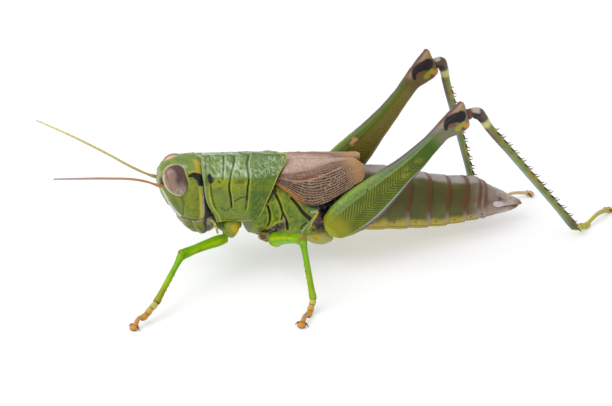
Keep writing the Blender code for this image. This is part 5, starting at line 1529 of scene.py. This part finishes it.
def hind_thigh(name, joints):
    """Jumping thigh with its ribbed outer face, keels and knee."""
    hip, knee = (np.array(joint, float) for joint in joints[:2])
    side = -1 if hip[1] < 0 else 1
    ahead = unit(knee - hip)
    across = unit(np.cross(ahead, (0, 0, 1)))
    lift = np.cross(across, ahead)
    if across[1] * side < 0:
        across = -across
    station = np.linspace(THIGH_SHAPE[0][0], THIGH_SHAPE[-1][0], HIND_THIGH_ROWS)
    upper, lower, half = smooth_line(THIGH_SHAPE, station).T
    half[0] = half[-1] = 0.05
    place = station[:, None]
    stretch = np.linalg.norm(knee - hip) / THIGH_LENGTH
    turn = round_turn(HIND_THIGH_COLUMNS)[None, :]
    rise, out = np.cos(turn), np.sin(turn)
    reach = (np.abs(rise) ** THIGH_SQUARE + np.abs(out) ** THIGH_SQUARE) ** (-1 / THIGH_SQUARE)
    level = rise * reach
    tall = ((upper - lower) / 2)[:, None]
    if side > 0:
        tall = tall * (1 - RIGHT_SLIMMER * fade(place, 11, 14))
    height = ((upper + lower) / 2)[:, None] + tall * level
    wide = half[:, None] * (out * reach)
    grid = (hip + place[..., None] * ahead * stretch + height[..., None] * lift
            + wide[..., None] * across)
    field = (ease(level, -FIELD_REACH, 0.06 - FIELD_REACH)
             * fade(level, FIELD_REACH - 0.04, FIELD_REACH + 0.03)
             * ease(place, 1.0, 2.2) * fade(place, 12.0, 13.4))
    ribs = bell(((place - np.abs(level) * tall * RIB_SLANT) / RIB_PITCH) % 1, 0.5, 0.2)
    spine_line = bell(level * tall, 0, 0.06)
    upper_keel = bell((level - FIELD_REACH - 0.03) * tall, 0, 0.08) * ease(place, 0.8, 1.6)
    lower_keel = bell((level + FIELD_REACH) * tall, 0, 0.08)
    knee_map = grid_of(place, height, 0)
    crescent = stripe(knee_map, KNEE_CRESCENT, 0.15, 0.56, 0.07, mirrored=False)
    relief = field * (0.06 * ribs - 0.05) + 0.07 * upper_keel + 0.05 * lower_keel
    relief += 0.03 * field * spine_line - 0.06 * crescent
    relief *= 0.4 + 0.6 * ease(out, 0.15, 0.4)
    relief += 0.02 * ripple(grid, 0.7, 131)
    patchy = 0.45 + 0.55 * ease(ripple(grid, 0.8, 133) + 0.5 * ripple(grid, 0.25, 135), -0.5, 0.4)
    patchy *= 1 - 0.65 * ease(place, 8.0, 10.2)
    blots = blotches(grid, 0.42, 137, 0.0, 0.4) * bell(level, 0, 0.3)
    on_ledge = ease(level, 0.6, 0.7)
    bluish = bell(level, 0.78, 0.09) * fade(place, 5.5, 8)
    speckle = ripple(grid, 0.16, 148)
    spot_edge = 0.3 * ripple(grid, 0.2, 152)
    spots = [np.hypot(place - at, height - up) / size + spot_edge for at, up, size in THIGH_SPOTS]
    mottled = blotches(grid, 0.5, 147, -0.4, 0.4)
    sheen = bell(level, -0.68, 0.04) * ease(place, 2, 4) * fade(place, 8.5, 10.5)
    dusky = ease(place, 12.4, 13.8)
    knee_lobe = ease(place, 13.6, 14.4)
    knee_edge = ease(np.abs(level), 0.9, 0.98) * knee_lobe
    patches = [(colour, stripe(knee_map, knots, width, width, 0.12, mirrored=False))
               for knots, width, colour in KNEE_PATCHES]
    outer_paint = painted(
        grid, THIGH_STRIP,
        (THIGH_FIELD, 0.85 * field),
        (THIGH_RIB, 0.85 * field * ribs * patchy),
        (THIGH_RIB, 0.8 * field * blots * ease(place, 7.0, 9.0) * fade(place, 11.4, 12.2)),
        # Greyish painted sheen on the upper ledge.
        (THIGH_LEDGE_SHEEN, 0.5 * on_ledge * bluish),
        (DEEP_GREEN, 0.3 * on_ledge * ease(speckle, 0.1, 0.6)),
        (PALE_GREEN, 0.35 * on_ledge * ease(-speckle, 0.1, 0.6)),
        (DEEP_GREEN, 0.5 * field * spine_line),
        (THIGH_BASE, 0.9 * fade(place + 0.9 * np.abs(level), 1.2, 3.2)),
        (RIM_YELLOW, 0.4 * fade(place + 0.25 * np.abs(level), 0.5, 0.8)),
        (LEAF_GREEN, 0.5 * upper_keel),
        *((THORN_DARK, 0.8 * fade(spot, 0.5, 1.0)) for spot in spots),
        (DEEP_GREEN, 0.5 * ease(place, 9.5, 12) * ease(0.6 - level, 0, 0.1)),
        (DEEP_GREEN, 0.45 * ease(place + 0.5 * ripple(grid, 0.9, 139), 9.0, 12.0)),
        # Greyish painted sheen along the top of the thigh.
        (THIGH_LEDGE_SHEEN, 0.8 * ease(level, 0.68, 0.85) * ease(place, 5, 9)),
        (DEEP_GREEN, 0.6 * mottled * ease(level, 0.5, 0.7) * ease(place, 9.5, 11.5)),
        (KNEE_GREY, 0.7 * dusky),
        (THIGH_EDGE, 0.95 * fade(level, -0.8, -0.74) * ease(place, 1.6, 3)),
        (THIGH_SHEEN, 0.75 * sheen),
        (THIGH_EDGE, 0.6 * ease(level, 0.975, 0.995) * ease(place, 6, 9)),
        (KNEE_TAN, 0.85 * knee_lobe * ease(height, 1.2, 1.7)),
        *((colour, 0.85 * patch) for colour, patch in patches),
        (KNEE_EDGE, 0.8 * knee_edge),
        (BLUE_BLACK, 0.97 * crescent),
    )
    scar = np.hypot((place - 6.5) / 0.6, (height - 1.42) / 0.36) + 0.6 * ripple(grid, 0.28, 149)
    inner_paint = painted(
        grid, THIGH_OLIVE,
        (DEEP_GREEN, 0.75 * ease(level, 0.4, 0.8)),
        (OLIVE_BROWN, 0.5 * field * ribs),
        (OLIVE_BROWN, 0.5 * fade(scar, 1.1, 1.4)),
        (THIGH_SCAR, 0.7 * fade(scar + 0.3 * ripple(grid, 0.12, 150), 0.4, 1.0)),
        (KNEE_DUSK, 0.6 * dusky),
        (KNEE_TAN, 0.8 * knee_lobe * ease(height, 1.0, 1.6)),
        (KNEE_EDGE, 0.8 * knee_edge),
        *((colour, 0.7 * patch) for colour, patch in patches),
        (BLUE_BLACK, 0.95 * crescent),
    )
    paint = layered(inner_paint, (outer_paint, ease(out, -0.35, 0.1)))
    make_piece(f"{name}_thigh", [sheet(raised(grid, relief), paint)], thigh_finish,
               [f"{name}_femur"])


SHANK_GREEN = shade(118, 128, 50)
SHANK_YELLOW = shade(150, 134, 44)
SHANK_BLUE = shade(126, 158, 148)
SHANK_BROWN = shade(84, 66, 40)
SHANK_RUST = shade(118, 70, 44)
SHANK_PLUM = shade(98, 78, 84)
SHANK_NECK = shade(84, 66, 44)
NECK_PALE = shade(190, 176, 168)
RING_PALE = shade(206, 200, 130)
KNEE_RED = shade(116, 56, 48)
HIND_SHANK_ROWS = 320
HIND_SHANK_COLUMNS = 56
SHANK_WIDTH = ((0, 0.5), (0.025, 0.42), (0.06, 0.54), (0.09, 0.46), (0.13, 0.4), (0.2, 0.36),
               (0.3, 0.35), (0.6, 0.32), (0.85, 0.31), (0.95, 0.36), (1, 0.34))
THORNS_IN_ROW = 12
SPUR_LENGTH = 0.75
HIND_FEET = {"hind_left": (1.0, shade(178, 182, 72), 0.6), "hind_right": (0.72, shade(216, 196, 160), 0.6)}


def hind_shank(name, joints):
    """Bent shank with its thorns and spurs, and the foot below it."""
    shank_end, toe = (np.array(joint, float) for joint in joints[2:])
    bent = [np.array(point, float) for point in SHANK_BENDS[name]]
    start = bent[-1]
    ahead = unit(shank_end - start)
    knots = bent + [start + (shank_end - start) * part for part in (0.25, 0.5, 0.75, 1.0)]
    share = np.linspace(0, 1, HIND_SHANK_ROWS)
    along = share[:, None]
    half = curve(SHANK_WIDTH, share)
    half[0] = half[-1] = 0.08
    grid = limb_grid(knots, HIND_SHANK_ROWS, HIND_SHANK_COLUMNS, half, half * 0.9, up=(0.9, 0.05, 0.45))
    rear = np.cos(round_turn(HIND_SHANK_COLUMNS))[None, :]
    neck = fade(along, 0.108, 0.125)
    blotched = ripple(grid, 0.5, 143)
    shaded = ease(-rear + 0.3 * blotched, -0.35, 0.15) * fade(along, 0.09, 0.12)
    topped = ease(rear + 0.4 * blotched, 0.45, 0.8) * fade(along, 0.052, 0.065)
    ring = ease(along, 0.115, 0.13) * fade(along, 0.15, 0.175)
    paint = painted(
        grid, SHANK_GREEN,
        (SHANK_YELLOW, 0.75 * blotches(grid, 0.7, 141, -0.1, 0.4)),
        (SHANK_RUST, 0.5 * blotches(grid, 0.45, 145, 0.2, 0.6) * ease(-rear, -0.6, 0.2)),
        (SHANK_PLUM, 0.7 * ease(-rear, 0.2, 0.7) * fade(along, 0.3, 0.45)),
        (SHANK_BLUE, 0.8 * ease(-rear, 0.2, 0.7) * ease(along, 0.25, 0.4)),
        (SHANK_NECK, neck),
        (BLUE_BLACK, 0.9 * neck * shaded),
        (NECK_PALE, 0.85 * neck * topped * ease(along, 0.02, 0.035)),
        (KNEE_RED, 0.8 * fade(along, 0.015, 0.03)),
        (RING_PALE, 0.85 * ring),
        (SHANK_BROWN, 0.7 * ease(along, 0.88, 0.97)),
    )
    grid = ridged(grid, 4, 0.03)
    parts = [sheet(grid, paint)]
    backward = unit((1, 0, 0) - ahead * ahead[0])
    across = np.cross(backward, ahead)
    for row, spread in ((0, 0.5), (1, -0.5)):
        for number in range(THORNS_IN_ROW):
            place = 0.055 + 0.92 * (number + 0.5 * row) / THORNS_IN_ROW
            root = start + (shank_end - start) * place
            away = unit(backward + across * spread)
            direction = unit(away + ahead * 0.8)
            base = root + away * 0.22
            parts.append(thorn(base - ahead * 0.16, base + ahead * 0.3 + away * 0.14, 0.12,
                               (THORN_DARK, THORN_DARK), bow=away * 0.05))
            parts.append(thorn(base, base + direction * (0.76 - 0.14 * row), 0.085,
                               (THORN_DARK, THORN_PALE), bow=ahead * 0.12, rows=10))
    for way in (-1, 1):
        for lean in (0.35, 0.9):
            direction = unit(ahead + across * way * lean + backward * 0.35)
            root = shank_end - ahead * 0.12 + across * way * 0.2
            parts.append(thorn(root, root + direction * SPUR_LENGTH, 0.09, (SHANK_BROWN, THORN_DARK),
                               bow=backward * 0.05))
    make_piece(f"{name}_shank", parts, shank_finish, [f"{name}_tibia"])
    make_piece(f"{name}_foot", foot_sheets(shank_end, toe, (0.3, 0.22), *HIND_FEET[name]), foot_finish,
               [f"{name}_tarsus"])


for name, joints in HIND_JOINTS.items():
    hind_thigh(name, joints)
    hind_shank(name, joints)

# Floor, light and camera: a plain white studio table under a soft white sky, one broad
# lamp above, and the photograph's slanting view from the left and above.

VIEW_AZIMUTH = math.radians(-17)
VIEW_ELEVATION = math.radians(30)
VIEW_DISTANCE = 350 * MM
VIEW_TARGET = (-2.45 * MM, 0.0, 5.06 * MM)
VIEW_LENS = 225.6
SENSOR_WIDTH = 36
FLOOR_HALF = 2.0
FLOOR_GREY = (0.6, 0.6, 0.61, 1)
FLOOR_GLOW = 0.4
WHITE = (1, 1, 1, 1)
SKY_STRENGTH = 0.75
LAMP_PLACE = np.array([-0.2, -0.02, 0.27])
LAMP_SIZE = 0.28
LAMP_POWER = 0.65

floor_mesh = bpy.data.meshes.new("studio_floor")
floor_mesh.from_pydata([(-FLOOR_HALF, -FLOOR_HALF, 0), (FLOOR_HALF, -FLOOR_HALF, 0),
                        (FLOOR_HALF, FLOOR_HALF, 0), (-FLOOR_HALF, FLOOR_HALF, 0)], [], [(0, 1, 2, 3)])
floor = bpy.data.objects.new("studio_floor", floor_mesh)
bpy.context.scene.collection.objects.link(floor)
floor_finish = bpy.data.materials.new("studio_white")
floor_finish.use_nodes = True
floor_surface = floor_finish.node_tree.nodes["Principled BSDF"]
floor_surface.inputs["Base Color"].default_value = FLOOR_GREY
floor_surface.inputs["Emission Color"].default_value = WHITE
floor_surface.inputs["Emission Strength"].default_value = FLOOR_GLOW
floor_surface.inputs["Roughness"].default_value = 0.8
floor_surface.inputs["Specular IOR Level"].default_value = 0.1
floor_mesh.materials.append(floor_finish)

sky = bpy.data.worlds.new("studio_sky")
sky.use_nodes = True
sky.node_tree.nodes["Background"].inputs["Color"].default_value = WHITE
sky.node_tree.nodes["Background"].inputs["Strength"].default_value = SKY_STRENGTH
bpy.context.scene.world = sky

light = bpy.data.lights.new("top_lamp", "AREA")
light.shape = "DISK"
light.size = LAMP_SIZE
light.energy = LAMP_POWER
lamp = bpy.data.objects.new("top_lamp", light)
bpy.context.scene.collection.objects.link(lamp)
lamp.location = LAMP_PLACE
ahead = -LAMP_PLACE
heading = math.atan2(ahead[1], ahead[0]) - math.pi / 2
lamp.rotation_euler = (math.atan2(math.hypot(ahead[0], ahead[1]), -ahead[2]), 0, heading)

camera_data = bpy.data.cameras.new("camera")
camera_data.lens = VIEW_LENS
camera_data.sensor_width = SENSOR_WIDTH
camera_data.clip_start = 0.01
camera = bpy.data.objects.new("camera", camera_data)
bpy.context.scene.collection.objects.link(camera)
look = np.array([-math.sin(VIEW_AZIMUTH) * math.cos(VIEW_ELEVATION),
                 math.cos(VIEW_AZIMUTH) * math.cos(VIEW_ELEVATION), -math.sin(VIEW_ELEVATION)])
camera.location = np.array(VIEW_TARGET) - look * VIEW_DISTANCE
camera.rotation_euler = (math.pi / 2 - VIEW_ELEVATION, 0, VIEW_AZIMUTH)
bpy.context.scene.camera = camera
bpy.context.scene.view_settings.view_transform = "Standard"
